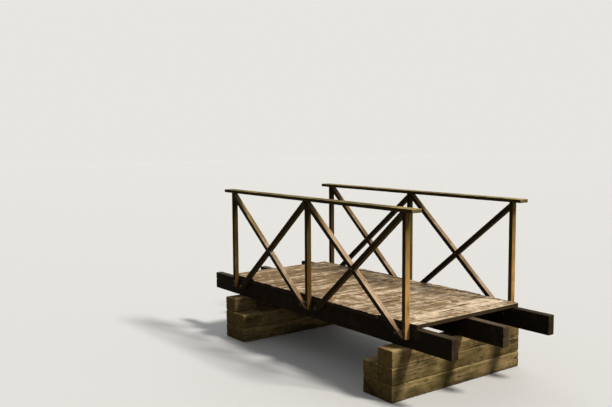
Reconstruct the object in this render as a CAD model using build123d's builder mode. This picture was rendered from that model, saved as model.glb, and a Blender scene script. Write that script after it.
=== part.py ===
"""Wooden footbridge: a deck of cross planks on three long beams, carried at each end by a stack
of timber sills, with a railing of posts, flat handrail and half-lapped cross braces on each side.

+X runs along the bridge, +Y across it and +Z up. The origin is on the ground, under the middle of
the deck. The near side is the one towards -Y. All sizes are in millimetres.
"""
from build123d import *

import math
import os
from dataclasses import dataclass

# Overall sizes
bay_length = 1545  # centre to centre of two neighbouring posts
bridge_width = 1510  # over the outer faces of the two side beams
railing_height = 1100  # from the top of the deck to the top of the handrail
stream_clearance = 510  # from the ground to the underside of the beams

# Deck
plank_width = 128
plank_thickness = 45
least_plank_gap = 5  # the gaps open until the planks fill the deck
plank_overhang = 32  # past the outer face of a side beam
plank_stagger = 7  # how far the ends of neighbouring planks are out of line
stagger_turn = 2.4  # radians of the stagger's wave from one plank to the next
deck_past_post = 120  # from the middle of an end post to the end of the deck

# Beams
beam_width = 90
beam_depth = 205
beam_past_deck = 440  # a beam runs this far beyond the end of the deck
beam_arris = 4

# Railings
post_along = 47
post_across = 58
post_foot_depth = 160  # from the top of the deck to the foot of a post
post_foot_bevel = 12
handrail_width = 126
handrail_thickness = 38
handrail_past_post = 145  # from the middle of an end post to the end of the handrail
handrail_round = 7

# Cross braces. Seen from outside the bridge, the outer brace of a bay climbs to the right and lies
# over the inner one. A drop is how far a brace's centre line passes below a corner of its bay.
brace_width = 50
brace_thickness = 58
outer_brace_foot_drop = 74
outer_brace_top_drop = 8
inner_brace_foot_drop = 22
inner_brace_top_drop = 46
lap_clearance = 0.3  # at the shoulders of a half lap

# Sills under the beam ends
sill_width = 210
sill_length = 1900
sill_past_post = 10  # from the bank face of the top sill in to the middle of an end post
sill_gap = 0.3  # between two sills that lie side by side
sill_arris = 9

# Names of the repeated places, from left to right and from the ground up
post_names = ["left", "middle", "right"]
bay_names = ["left", "right"]
post_zone_names = ["left_end", "middle", "right_end"]
course_names = ["base", "middle", "top"]
sides = {"near": -1, "far": 1}
ends = {"left": -1, "right": 1}

# Levels
sill_height = stream_clearance / len(course_names)
beam_bottom = stream_clearance
beam_top = beam_bottom + beam_depth
deck_top = beam_top + plank_thickness
foot_level = deck_top - post_foot_depth
handrail_bottom = deck_top + railing_height - handrail_thickness

# Lengths and places along the bridge
railing_length = len(bay_names) * bay_length
deck_length = railing_length + 2 * deck_past_post
beam_length = deck_length + 2 * beam_past_deck
handrail_length = railing_length + 2 * handrail_past_post
post_places = [number * bay_length - railing_length / 2 for number in range(len(post_names))]
bay_places = [place + bay_length / 2 for place in post_places[:-1]]
plank_count = math.floor((deck_length + least_plank_gap) / (plank_width + least_plank_gap))
plank_pitch = (deck_length - plank_width) / (plank_count - 1)

# Places across the bridge
beam_face = bridge_width / 2
side_beam_middle = beam_face - beam_width / 2
post_middle = beam_face + post_across / 2

# One bay of railing: the clear opening between two posts, from their feet to the handrail
bay_opening = bay_length - post_along
post_length = handrail_bottom - foot_level
opening_middle = foot_level + post_length / 2
opening_diagonal = math.hypot(bay_opening, post_length)


@dataclass(frozen=True)
class BraceLine:
    """The centre line of a brace, which passes a little below two opposite corners of its bay."""

    foot_drop: float
    top_drop: float

    def slope(self) -> float:
        """The angle between the line and the deck."""
        return math.atan2(post_length + self.foot_drop - self.top_drop, bay_opening)

    def middle(self) -> float:
        """The height of the line half-way along the bay."""
        return opening_middle - (self.foot_drop + self.top_drop) / 2

    def foot_reach(self) -> float:
        """How far from its post the brace's lower edge comes up through the top of the deck."""
        rise = post_foot_depth + self.foot_drop
        return rise / math.tan(self.slope()) + brace_width / 2 / math.sin(self.slope())


outer_line = BraceLine(outer_brace_foot_drop, outer_brace_top_drop)
inner_line = BraceLine(inner_brace_foot_drop, inner_brace_top_drop)

# The two lines of a bay cross this far from its middle, towards the top of the outer brace
slope_sum = math.tan(outer_line.slope()) + math.tan(inner_line.slope())
cross_shift = (inner_line.middle() - outer_line.middle()) / slope_sum
cross_height = outer_line.middle() + cross_shift * math.tan(outer_line.slope())

# Planks nearer to the middle of a post than this meet the post or the foot of a brace
brace_foot_reach = max(outer_line.foot_reach(), inner_line.foot_reach())
short_plank_reach = post_along / 2 + brace_foot_reach + plank_width / 2

os.makedirs("parts", exist_ok=True)


def save(piece: BuildPart, name: str) -> None:
    """Name a finished piece and write its file."""
    piece.part.label = name
    export_step(piece.part, f"parts/{name}.step")


# Beams, laid on the sills from bank to bank
def make_beam(name: str, middle: float) -> None:
    """One long beam with its centre line at y = middle."""
    with BuildPart() as beam:
        with BuildSketch(Plane.YZ.offset(-beam_length / 2)):
            with Locations((middle, beam_bottom + beam_depth / 2)):
                Rectangle(beam_width, beam_depth)
        extrude(amount=beam_length)
        chamfer(beam.edges().filter_by(Axis.X), beam_arris)
    save(beam, name)


make_beam("beam_near", -side_beam_middle)
make_beam("beam_middle", 0)
make_beam("beam_far", side_beam_middle)


# Deck planks: those beside a post or a brace foot are cut back flush with the side beams
def is_short(place: float) -> bool:
    """True where a plank centred at x = place would meet a post or the foot of a brace."""
    return any(abs(place - post) < short_plank_reach for post in post_places)


def deck_zone(place: float) -> str:
    """The stretch of deck, at a pair of posts or in a bay, that holds the plank at x = place."""
    post = round((place - post_places[0]) / bay_length)
    if is_short(place) or abs(place) > railing_length / 2:
        return post_zone_names[post]
    return bay_names[math.floor((place - post_places[0]) / bay_length)] + "_bay"


def make_planks(name: str, numbers: list[int]) -> None:
    """Neighbouring planks, counted from the left end of the deck, as separate boards."""
    with BuildPart() as planks:
        with BuildSketch(Plane.XY.offset(beam_top)):
            for number in numbers:
                place = plank_places[number]
                short = is_short(place)
                length = bridge_width if short else bridge_width + 2 * plank_overhang
                shift = 0 if short else plank_stagger * math.sin(stagger_turn * number)
                with Locations((place, shift)):
                    Rectangle(plank_width, length)
        extrude(amount=plank_thickness)
    save(planks, name)


plank_places = [(number - (plank_count - 1) / 2) * plank_pitch for number in range(plank_count)]
zones: dict[str, list[int]] = {}
for number, place in enumerate(plank_places):
    zones.setdefault(deck_zone(place), []).append(number)
for zone, numbers in zones.items():
    make_planks(f"deck_planks_{zone}", numbers)


# Posts, bolted to the outer faces of the side beams
def make_post(name: str, place: float, side: int) -> None:
    """One post at x = place, its back on a side beam and the outer edge of its foot bevelled."""
    with BuildPart() as post:
        with BuildSketch(Plane.XY.offset(foot_level)):
            with Locations((place, side * post_middle)):
                Rectangle(post_along, post_across)
        extrude(amount=post_length)
        foot_edges = post.edges().filter_by(Axis.X).group_by(Axis.Z)[0]
        chamfer(foot_edges.sort_by(Axis.Y)[0 if side < 0 else -1], post_foot_bevel)
    save(post, name)


for side_name, side in sides.items():
    for post_name, place in zip(post_names, post_places):
        make_post(f"post_{side_name}_{post_name}", place, side)


# Handrails, flat boards laid on the post tops
def make_handrail(name: str, side: int) -> None:
    """One handrail centred over its row of posts, its top edges rounded by wear."""
    with BuildPart() as handrail:
        with BuildSketch(Plane.YZ.offset(-handrail_length / 2)):
            with Locations((side * post_middle, handrail_bottom + handrail_thickness / 2)):
                Rectangle(handrail_width, handrail_thickness)
        extrude(amount=handrail_length)
        fillet(handrail.edges().filter_by(Axis.X).group_by(Axis.Z)[-1], handrail_round)
    save(handrail, name)


for side_name, side in sides.items():
    make_handrail(f"handrail_{side_name}", side)


# Cross braces, cut to fit their bay and half lapped where they cross
def make_brace(name: str, bay: float, side: int, rising: bool) -> None:
    """One brace from the foot of a post towards the opposite corner under the handrail.

    The rising brace climbs towards +X and the falling one towards -X. The outer brace of a bay
    keeps its outer half at the lap, and the inner one its inner half.
    """
    climb = 1 if rising else -1
    outer_climb = -side
    is_outer = climb == outer_climb
    own, other = (outer_line, inner_line) if is_outer else (inner_line, outer_line)
    middle = side * (beam_face + brace_thickness / 2)
    half_cut_away = -side if is_outer else side
    with BuildPart() as brace:
        with BuildSketch(Plane.XZ.offset(-middle)):
            with Locations((bay, opening_middle)):
                Rectangle(bay_opening, post_length)
            with Locations((bay, own.middle())):
                turn = climb * math.degrees(own.slope())
                Rectangle(2 * opening_diagonal, brace_width, rotation=turn, mode=Mode.INTERSECT)
        extrude(amount=brace_thickness / 2, both=True)
        with BuildSketch(Plane.XZ.offset(-middle - half_cut_away * brace_thickness / 4)):
            with Locations((bay + outer_climb * cross_shift, cross_height)):
                turn = -climb * math.degrees(other.slope())
                Rectangle(opening_diagonal / 2, brace_width + 2 * lap_clearance, rotation=turn)
        extrude(amount=brace_thickness / 4, both=True, mode=Mode.SUBTRACT)
    save(brace, name)


for side_name, side in sides.items():
    for bay_name, bay in zip(bay_names, bay_places):
        make_brace(f"brace_{side_name}_{bay_name}_rising", bay, side, rising=True)
        make_brace(f"brace_{side_name}_{bay_name}_falling", bay, side, rising=False)


# Sills, laid across the bridge in courses: one on top, two side by side in each lower course
def make_sill(name: str, middle: float, course: int) -> None:
    """One sill with its centre line at x = middle; course 0 lies on the ground."""
    with BuildPart() as sill:
        with BuildSketch(Plane.XZ.offset(-sill_length / 2)):
            with Locations((middle, (course + 0.5) * sill_height)):
                Rectangle(sill_width, sill_height)
        extrude(amount=sill_length)
        chamfer(sill.edges().filter_by(Axis.Y), sill_arris)
    save(sill, name)


bank_row = railing_length / 2 - sill_past_post - sill_width / 2
stream_row = bank_row - sill_width - sill_gap
for end_name, end in ends.items():
    for course, course_name in enumerate(course_names[:-1]):
        make_sill(f"sill_{end_name}_{course_name}_bank", end * bank_row, course)
        make_sill(f"sill_{end_name}_{course_name}_stream", end * stream_row, course)
    make_sill(f"sill_{end_name}_{course_names[-1]}", end * bank_row, len(course_names) - 1)
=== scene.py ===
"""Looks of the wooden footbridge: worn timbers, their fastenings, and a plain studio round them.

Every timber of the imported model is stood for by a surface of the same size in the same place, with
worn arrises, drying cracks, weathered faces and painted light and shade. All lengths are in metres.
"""
import sys

import logging
import math
from abc import ABC, abstractmethod
from collections.abc import Callable, Iterator
from dataclasses import dataclass, replace
from enum import Enum
from functools import cache
from itertools import chain
from typing import Union

import bmesh
import bpy
import numpy as np
from mathutils import Matrix, Vector


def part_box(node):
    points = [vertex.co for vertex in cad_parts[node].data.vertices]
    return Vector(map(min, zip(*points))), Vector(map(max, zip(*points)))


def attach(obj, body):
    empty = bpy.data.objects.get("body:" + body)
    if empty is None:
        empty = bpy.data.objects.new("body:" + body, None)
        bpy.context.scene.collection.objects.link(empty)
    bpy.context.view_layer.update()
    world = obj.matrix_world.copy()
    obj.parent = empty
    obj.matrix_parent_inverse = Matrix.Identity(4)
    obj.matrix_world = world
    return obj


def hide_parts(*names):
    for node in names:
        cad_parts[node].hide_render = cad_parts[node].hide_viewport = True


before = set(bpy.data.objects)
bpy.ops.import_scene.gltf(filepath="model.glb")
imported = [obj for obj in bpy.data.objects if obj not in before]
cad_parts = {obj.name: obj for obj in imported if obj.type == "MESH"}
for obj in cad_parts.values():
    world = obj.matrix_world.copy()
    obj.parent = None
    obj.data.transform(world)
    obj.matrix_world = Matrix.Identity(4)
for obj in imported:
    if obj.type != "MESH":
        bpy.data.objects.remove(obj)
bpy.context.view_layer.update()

log = logging.getLogger("footbridge")

Point = tuple[float, float, float]
Colour = tuple[float, float, float]
Pair = tuple[float, float]
Ways = tuple[Point, Point, Point]
Spot = tuple[Point, Point]
Number = Union[int, float, "Wire"]
EndRule = Callable[[np.ndarray, np.ndarray], np.ndarray]

ROOT = "root"
BEAMS = ("beam_near", "beam_middle", "beam_far")
UP = (0, 0, 1)

# The ways that a timber's grain, its width and its thickness run
ALONG_BRIDGE = ((1, 0, 0), (0, 1, 0), UP)
ACROSS_BRIDGE = ((0, 1, 0), (-1, 0, 0), UP)
UPRIGHT = (UP, (1, 0, 0), (0, 1, 0))

# Where each kind of timber starts to count its seeds: for its cracks, and for its surface
SEEDS = {"beam": (400, 500), "post": (900, 1000), "handrail": (1200, 1300), "brace": (1400, 1500),
         "sill": (1700, 1800)}
DECK_SEED = 77
PLANK_SEED = 700


class Side(Enum):
    """The two railings, by the sign of their y."""

    NEAR = -1
    FAR = 1

    @property
    def word(self) -> str:
        """The side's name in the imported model."""
        return self.name.lower()

    @property
    def outward(self) -> Point:
        """The way out of the bridge."""
        return (0.0, float(self.value), 0.0)

    @property
    def inward(self) -> Point:
        """The way back in."""
        return (0.0, -float(self.value), 0.0)

    def faces(self, low: np.ndarray, high: np.ndarray) -> Pair:
        """The y of a box's outer face and of its inner one."""
        return (low[1], high[1]) if self is Side.NEAR else (high[1], low[1])


class Face(Enum):
    """The four long faces of a timber, in the order in which its section runs."""

    UP = 0
    LEFT = 1
    DOWN = 2
    RIGHT = 3


class Half(Enum):
    """The half of its thickness that a brace keeps where it crosses the other one, by its sign."""

    LOWER = -1
    UPPER = 1


# Shader sockets as plain arithmetic


@dataclass(frozen=True)
class Clouds:
    """Cloudy noise, which runs from 0 to 1 about a half.

    Attributes:
        waves: waves a metre along each axis.
        detail: how many finer layers are added.
        rough: how strong the finer layers are.
        bend: how far the noise bends itself.
    """

    waves: Point
    detail: float = 2.0
    rough: float = 0.5
    bend: float = 0.0


class Wire:
    """One output socket of a node tree, which takes part in arithmetic by adding Math nodes."""

    def __init__(self, tree: "Recipe", socket: bpy.types.NodeSocket) -> None:
        """Keeps the socket and the recipe that it belongs to."""
        self.tree, self.socket = tree, socket

    def __add__(self, other: Number) -> "Wire":
        """The sum."""
        return self.tree.maths("ADD", self, other)

    def __sub__(self, other: Number) -> "Wire":
        """The difference."""
        return self.tree.maths("SUBTRACT", self, other)

    def __rsub__(self, other: Number) -> "Wire":
        """The difference, with the socket taken away."""
        return self.tree.maths("SUBTRACT", other, self)

    def __mul__(self, other: Number) -> "Wire":
        """The product."""
        return self.tree.maths("MULTIPLY", self, other)

    __radd__ = __add__
    __rmul__ = __mul__


class Recipe:
    """The node tree of a material or the world, filled by naming each node and what feeds it."""

    def __init__(self, owner: bpy.types.Material | bpy.types.World) -> None:
        """Starts a node tree afresh.

        Args:
            owner: the material or the world that the tree belongs to.
        """
        owner.use_nodes = True
        self.owner, self.nodes, self.links = owner, owner.node_tree.nodes, owner.node_tree.links
        self.nodes.clear()

    def node(self, kind: str, settings: dict | None = None, inputs: dict | None = None) -> bpy.types.Node:
        """Adds one node.

        Args:
            kind: the node's type, without its "ShaderNode" start.
            settings: properties of the node, set before its sockets.
            inputs: values or wires for its sockets, by name, identifier or number.

        Returns:
            The node.
        """
        node = self.nodes.new("ShaderNode" + kind)
        for key, value in (settings or {}).items():
            setattr(node, key, value)
        by_identifier = {socket.identifier: socket for socket in node.inputs}
        for key, value in (inputs or {}).items():
            named = None if isinstance(key, int) else by_identifier.get(key)
            socket = named or node.inputs[key]
            if isinstance(value, Wire):
                self.links.new(value.socket, socket)
            elif socket.type == "RGBA" and len(value) == 3:
                socket.default_value = (*value, 1.0)
            else:
                socket.default_value = value
        return node

    def wire(self, node: bpy.types.Node, output: str | int = 0) -> Wire:
        """One output of a node, as a wire."""
        return Wire(self, node.outputs[output])

    def maths(self, operation: str, *values: Number, clamp: bool = False) -> Wire:
        """One Math node on up to three values or wires."""
        node = self.node("Math", {"operation": operation, "use_clamp": clamp}, dict(enumerate(values)))
        return self.wire(node)

    def vector(self, operation: str, *values: Wire | Point) -> Wire:
        """One Vector Math node on vectors or wires."""
        node = self.node("VectorMath", {"operation": operation}, dict(enumerate(values)))
        return self.wire(node, "Value" if operation in ("DOT_PRODUCT", "LENGTH") else "Vector")

    def attribute(self, name: str, output: str = "Fac") -> Wire:
        """What the piece's mesh holds under that name."""
        return self.wire(self.node("Attribute", {"attribute_name": name}), output)

    def place(self) -> Wire:
        """Where a surface point is."""
        return self.wire(self.node("TexCoord"), "Object")

    def upward(self, vector: Wire) -> Wire:
        """The upward part of a place or a direction."""
        return self.wire(self.node("SeparateXYZ", inputs={0: vector}), 2)

    def noise(self, place: Wire, clouds: Clouds, output: str = "Fac") -> Wire:
        """Cloudy noise.

        Args:
            place: where the surface point is.
            clouds: how coarse it is along each axis, and how rough.
            output: Fac for a number or Color for three.

        Returns:
            The noise.
        """
        spot = self.vector("MULTIPLY", place, clouds.waves)
        node = self.node("TexNoise", {"noise_dimensions": "3D"}, {
            "Vector": spot, "Scale": 1.0, "Detail": clouds.detail, "Roughness": clouds.rough,
            "Distortion": clouds.bend})
        return self.wire(node, output)

    def cells(self, place: Wire, waves: Point) -> tuple[Wire, Wire]:
        """Scattered spots.

        Args:
            place: where the surface point is.
            waves: spots a metre along each axis.

        Returns:
            How far the nearest spot is, in gaps between spots, and a random number for it.
        """
        spot = self.vector("MULTIPLY", place, waves)
        node = self.node("TexVoronoi", {"feature": "F1"}, {"Vector": spot, "Scale": 1.0, "Randomness": 0.9})
        parts = self.node("SeparateColor", inputs={0: self.wire(node, "Color")})
        return self.wire(node, "Distance"), self.wire(parts, 0)

    def between(self, value: Number, low: float, high: float,
                to_low: float = 0.0, to_high: float = 1.0) -> Wire:
        """A soft step.

        Args:
            value: what it follows.
            low: the value at which it starts.
            high: the value at which it is over.
            to_low: what it gives up to the start.
            to_high: what it gives from there on.

        Returns:
            The step.
        """
        node = self.node("MapRange", {"interpolation_type": "SMOOTHSTEP"}, {
            "Value": value, "From Min": low, "From Max": high, "To Min": to_low, "To Max": to_high})
        return self.wire(node)

    def fade(self, value: Number, low: float, high: float) -> Wire:
        """A soft step down, from 1 where value is at low to 0 where it is at high."""
        return self.between(value, low, high, 1.0, 0.0)

    def blend(self, share: Number, first: Wire | Colour, second: Wire | Colour, way: str = "MIX") -> Wire:
        """Lays one colour over another.

        Args:
            share: how far the second covers the first, from 0 to 1.
            first: the colour below.
            second: the colour above.
            way: how they mix, in the Mix node's own words.

        Returns:
            The mixed colour.
        """
        node = self.node("Mix", {"data_type": "RGBA", "blend_type": way, "clamp_factor": True}, {
            "Factor_Float": share, "A_Color": first, "B_Color": second})
        return Wire(self, next(s for s in node.outputs if s.identifier == "Result_Color"))

    def shaded(self, colour: Wire, shade: Wire) -> Wire:
        """A colour, lighter or darker by a factor."""
        tint = self.wire(self.node("CombineColor", inputs=dict.fromkeys(range(3), shade)))
        return self.blend(1.0, colour, tint, "MULTIPLY")

    def relief(self, heights: Wire, distance: float, strength: float = 1.0) -> Wire:
        """The surface's direction where heights raise it by up to a distance."""
        inputs = {"Strength": strength, "Distance": distance, "Height": heights}
        return self.wire(self.node("Bump", inputs=inputs))

    def surface(self, **inputs: Number | Colour) -> bpy.types.Material:
        """Closes the recipe with one Principled shader.

        Args:
            inputs: values or wires for its sockets, named with _ for a space.

        Returns:
            The finished material.
        """
        sockets = {key.replace("_", " "): value for key, value in inputs.items()}
        shader = self.node("BsdfPrincipled", inputs=sockets)
        self.node("OutputMaterial", inputs={"Surface": self.wire(shader)})
        return self.owner

    def seen(self) -> Wire:
        """1 for what the camera sees, straight or in polished steel, and 0 for light falling on things."""
        rays = self.node("LightPath")
        return self.maths("MAXIMUM", self.wire(rays, "Is Camera Ray"), self.wire(rays, "Is Glossy Ray"))


# Finishes


@dataclass(frozen=True)
class Pattern:
    """What growth and weather draw on every timber, whatever its finish.

    Waves are counted a metre, along the grain and then twice across it. A pair of values is where a
    soft step starts and where it is over.

    Attributes:
        knot_waves: how close together the places for knots are.
        knotty: the random numbers that turn such a place into a knot.
        knot_core: how far from its middle a knot is dark, in gaps between places.
        knot_swirl: how far from its middle it bends the rings.
        swirl: how far it bends them.
        sways: the slow bends of the grain.
        sway: how far they carry it.
        late_wood: the heights of a ring's wave that are its dark late wood.
        fibres: the fine fibres.
        streaks: the broad streaks.
        seams: the fine drying cracks.
        seam_width: how near to its middle value their noise draws one.
        open_stretches: where they open.
        opens: the noise that opens them.
        crack_shows: how far down a modelled crack its painted shade shows.
        own_patches: the patches that are a timber's own.
        faces_down: how steeply a face has to look down to take the underside colour, which is painted bounce
            light.
        smudges: the patches of soil.
        soiled: the noise that makes soil lie.
        filmed: the noise that makes the green film grow.
        stained: how near to rusting steel the stain starts and is full.
    """

    knot_waves: Point = (3.1, 9.0, 9.0)
    knotty: Pair = (0.66, 0.68)
    knot_core: Pair = (0.08, 0.17)
    knot_swirl: Pair = (0.05, 0.48)
    swirl: float = 0.014
    sways: Clouds = Clouds((1.1, 5.0, 5.0))
    sway: float = 0.035
    late_wood: Pair = (0.35, 0.95)
    fibres: Clouds = Clouds((7.0, 210.0, 210.0), detail=4.0, rough=0.65)
    streaks: Clouds = Clouds((2.2, 34.0, 34.0), detail=3.0, rough=0.6)
    seams: Clouds = Clouds((3.0, 46.0, 46.0), rough=0.45, bend=0.25)
    seam_width: Pair = (0.004, 0.020)
    open_stretches: Clouds = Clouds((2.3, 9.0, 9.0), detail=1.0)
    opens: Pair = (0.47, 0.60)
    crack_shows: Pair = (0.10, 0.75)
    own_patches: Clouds = Clouds((1.6, 11.0, 11.0), rough=0.55)
    faces_down: Pair = (0.35, 0.85)
    smudges: Clouds = Clouds((4.5, 4.5, 4.5), detail=4.0, rough=0.68)
    soiled: Pair = (0.52, 0.72)
    filmed: Pair = (0.40, 0.62)
    stained: Pair = (0.12, 0.95)


@dataclass(frozen=True)
class Strengths:
    """How strongly each mark of growth and weather shows, whatever the finish.

    Attributes:
        seam_share: how dark the painted shade of the fine drying cracks is, where the modelled ones are 1.
        side_shift: how far a timber's own patches shift the limit of its weather side, which is also its
            painted lit side, as a cosine.
        edge_fades: how much further the worn edges bleach.
        tone_fades: how much further the light timbers take the bleaching and painted sun flecks.
        bleach_share: how far the bleaching and painted sun flecks cover the wood, from 0 to 1.
        knot_share: how far a knot covers it.
        stain_share: how far a stain covers it.
        dark_shift: how far the own patches shift the heights where a timber darkens.
        lightness: how light the darkest timber is, and how much lighter the lightest one is.
        streak_shade: how far the streaks lighten and darken it, at full contrast.
        fibre_shade: how far the fibres do.
        ring_shade: how much late wood darkens it, at full contrast.
        end_ring_shade: how much more late wood does on the sawn ends.
        soil_shift: how far the own patches keep soil away.
        film_shift: how far the patches of soil shift the heights of the green film.
        sheltered_film: the film's share on the faces painted as shaded.
        film_noise: the shares of soil patches and streaks in the noise that the film follows.
        stain_noise: how strong a stain is at least, and how much the fibres add.
        fibre_height: how far the fibres raise the relief, where 1 is all of it.
        streak_height: how far the streaks do.
        smudge_height: how far the patches of soil do.
        ring_depth: how far late wood lowers it.
        split_depth: how far a crack does.
        knot_depth: how far a knot does.
        dullness: roughness of the smoothest wood.
        fibre_dulls: how much the fibres add to it.
        soil_dulls: how much soil adds.
        bleach_shines: how much the bleaching and painted sun flecks take off.
        dullest: the highest roughness.
        mirrors: how strongly the wood mirrors.
    """

    seam_share: float = 0.8
    side_shift: float = 0.5
    edge_fades: float = 0.10
    tone_fades: float = 0.12
    bleach_share: float = 0.85
    knot_share: float = 0.75
    stain_share: float = 0.85
    dark_shift: float = 0.5
    lightness: Pair = (0.72, 0.42)
    streak_shade: float = 1.5
    fibre_shade: float = 1.3
    ring_shade: float = 0.30
    end_ring_shade: float = 0.30
    soil_shift: float = 0.35
    film_shift: float = 0.55
    sheltered_film: float = 0.12
    film_noise: Pair = (0.6, 0.4)
    stain_noise: Pair = (0.7, 0.6)
    fibre_height: float = 0.45
    streak_height: float = 0.55
    smudge_height: float = 0.25
    ring_depth: float = 0.22
    split_depth: float = 1.5
    knot_depth: float = 0.3
    dullness: float = 0.70
    fibre_dulls: float = 0.20
    soil_dulls: float = 0.15
    bleach_shines: float = 0.04
    dullest: float = 0.97
    mirrors: float = 0.04


@dataclass(frozen=True)
class TimberFinish:
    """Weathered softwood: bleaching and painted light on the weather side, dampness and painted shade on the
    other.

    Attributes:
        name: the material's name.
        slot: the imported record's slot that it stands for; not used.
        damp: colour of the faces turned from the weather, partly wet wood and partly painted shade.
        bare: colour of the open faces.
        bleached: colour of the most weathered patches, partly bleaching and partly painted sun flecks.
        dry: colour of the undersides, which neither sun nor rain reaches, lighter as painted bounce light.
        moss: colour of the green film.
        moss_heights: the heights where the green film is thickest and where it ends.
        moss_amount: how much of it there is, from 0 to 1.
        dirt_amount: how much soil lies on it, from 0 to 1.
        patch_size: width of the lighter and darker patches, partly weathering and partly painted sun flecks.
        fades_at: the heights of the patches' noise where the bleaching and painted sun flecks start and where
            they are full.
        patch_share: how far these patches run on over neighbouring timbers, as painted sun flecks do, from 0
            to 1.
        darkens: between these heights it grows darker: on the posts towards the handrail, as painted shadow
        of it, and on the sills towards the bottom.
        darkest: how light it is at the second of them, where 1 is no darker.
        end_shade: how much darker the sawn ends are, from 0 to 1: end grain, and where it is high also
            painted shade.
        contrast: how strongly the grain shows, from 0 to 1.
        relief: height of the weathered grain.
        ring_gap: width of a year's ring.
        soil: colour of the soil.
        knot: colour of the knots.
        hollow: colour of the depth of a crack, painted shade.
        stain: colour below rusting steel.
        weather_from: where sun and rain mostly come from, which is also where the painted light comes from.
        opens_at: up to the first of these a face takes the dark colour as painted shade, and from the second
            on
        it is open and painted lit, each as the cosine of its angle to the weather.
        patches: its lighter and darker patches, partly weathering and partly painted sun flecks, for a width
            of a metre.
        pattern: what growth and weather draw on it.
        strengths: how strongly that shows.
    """

    name: str
    slot: str
    damp: Colour
    bare: Colour
    bleached: Colour
    dry: Colour
    moss: Colour = (0.13, 0.115, 0.022)
    moss_heights: Pair = (0.0, 0.3)
    moss_amount: float = 0.3
    dirt_amount: float = 0.3
    patch_size: float = 0.5
    fades_at: Pair = (0.43, 0.62)
    patch_share: float = 0.55
    darkens: Pair = (3.0, 4.0)
    darkest: float = 0.36
    end_shade: float = 0.16
    contrast: float = 0.6
    relief: float = 0.0012
    ring_gap: float = 0.0055
    soil: Colour = (0.060, 0.042, 0.026)
    knot: Colour = (0.055, 0.032, 0.018)
    hollow: Colour = (0.014, 0.010, 0.007)
    stain: Colour = (0.050, 0.026, 0.014)
    weather_from: Point = (0.10, 0.60, 0.79)
    opens_at: Pair = (-0.45, 0.10)
    patches: Clouds = Clouds((1.0, 1.0, 1.0), detail=3.0, rough=0.6)
    pattern: Pattern = Pattern()
    strengths: Strengths = Strengths()

    @cache
    def build(self) -> bpy.types.Material:
        """Makes the material, once.

        Rings are a sine of the distance from the tree's middle, bent by slow noise and by knots.
        Fibres are noise drawn out along the grain. Open faces are found by the surface's own
        direction, which also paints shade on the faces turned from the light and bounce light on the
        undersides, soil and moss by height and slow noise, and cracks, nail stains, worn edges and end grain
        by the mesh's attributes; the cracks and some ends also take painted shade.

        Returns:
            The material.
        """
        r, p, s = Recipe(bpy.data.materials.new(self.name)), self.pattern, self.strengths
        place, facing = r.place(), r.wire(r.node("NewGeometry"), "Normal")
        height, grain = r.upward(place), r.attribute("grain", "Vector")
        crack_depth, edge, stain, cut, tone, green = (
            r.attribute(name) for name in ("crack", "edge", "stain", "cut", "tone", "green"))

        # The grain: rings bent by slow noise and by knots, and fibres along it
        near_knot, kind = r.cells(grain, p.knot_waves)
        is_knot = r.between(kind, *p.knotty)
        knot, swirl = (r.fade(near_knot, *reach) * is_knot for reach in (p.knot_core, p.knot_swirl))
        sway = r.vector("SUBTRACT", r.noise(grain, p.sways, "Color"), (0.5, 0.5, 0.5))
        bent = r.vector("ADD", grain, r.vector("MULTIPLY", sway, (0.0, p.sway, p.sway)))
        from_middle = r.vector("LENGTH", r.vector("MULTIPLY", bent, (0.0, 1.0, 1.0))) + swirl * p.swirl
        ring = r.maths("SINE", from_middle * (2 * math.pi / self.ring_gap)) * 0.5 + 0.5
        late = r.between(ring, *p.late_wood)
        fibre = r.noise(grain, p.fibres)
        streak = r.noise(bent, p.streaks)

        # Fine drying cracks: thin lines where drawn-out noise crosses its middle value
        seam = r.maths("ABSOLUTE", r.noise(bent, p.seams) - 0.5)
        open_here = r.between(r.noise(grain, p.open_stretches), *p.opens)
        hairline = r.fade(seam, *p.seam_width) * open_here * (1 - cut)
        deep = r.between(crack_depth, *p.crack_shows)
        splits = r.maths("MAXIMUM", hairline * s.seam_share, deep, clamp=True)

        # The weather side, which also paints shade on the faces turned from the light and bounce light on the
        # undersides, with patches that run over the timber and over its neighbours: partly bleaching, partly
        # painted sun flecks
        exposed_and_lit = r.vector("DOT_PRODUCT", facing, self.weather_from)
        # Painted sun flecks, in the frame's coordinates so that they cross from timber to timber.
        waves = tuple(wave / self.patch_size for wave in self.patches.waves)
        sun_fleck_noise = r.noise(place, replace(self.patches, waves=waves))
        own_patch = r.noise(grain, p.own_patches)
        # Painted shade: faces turned away from this direction take the dark colour, open faces the lit one.
        open_and_lit = r.between(exposed_and_lit + (own_patch - 0.5) * s.side_shift, *self.opens_at)
        mottle = sun_fleck_noise * self.patch_share + own_patch * (1 - self.patch_share)
        mottle = mottle + edge * s.edge_fades + (tone - 0.5) * s.tone_fades
        # Partly bleaching and partly painted sun flecks.
        bleach_and_sunlight = open_and_lit * r.between(mottle, *self.fades_at)
        # Faces looking down take a lighter colour: painted bounce light.
        wood = r.blend(r.between(r.upward(facing) * -1.0, *p.faces_down), self.damp, self.dry)
        wood = r.blend(open_and_lit, wood, self.bare)
        wood = r.blend(bleach_and_sunlight * s.bleach_share, wood, self.bleached)
        wood = r.blend(knot * s.knot_share, wood, self.knot)

        # How light it is: by the timber, by its height (painted shadow of the handrail on the posts, darker
        # towards the bottom on the sills), and by its streaks, fibres, rings and ends
        dark, lighter = s.lightness
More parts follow.
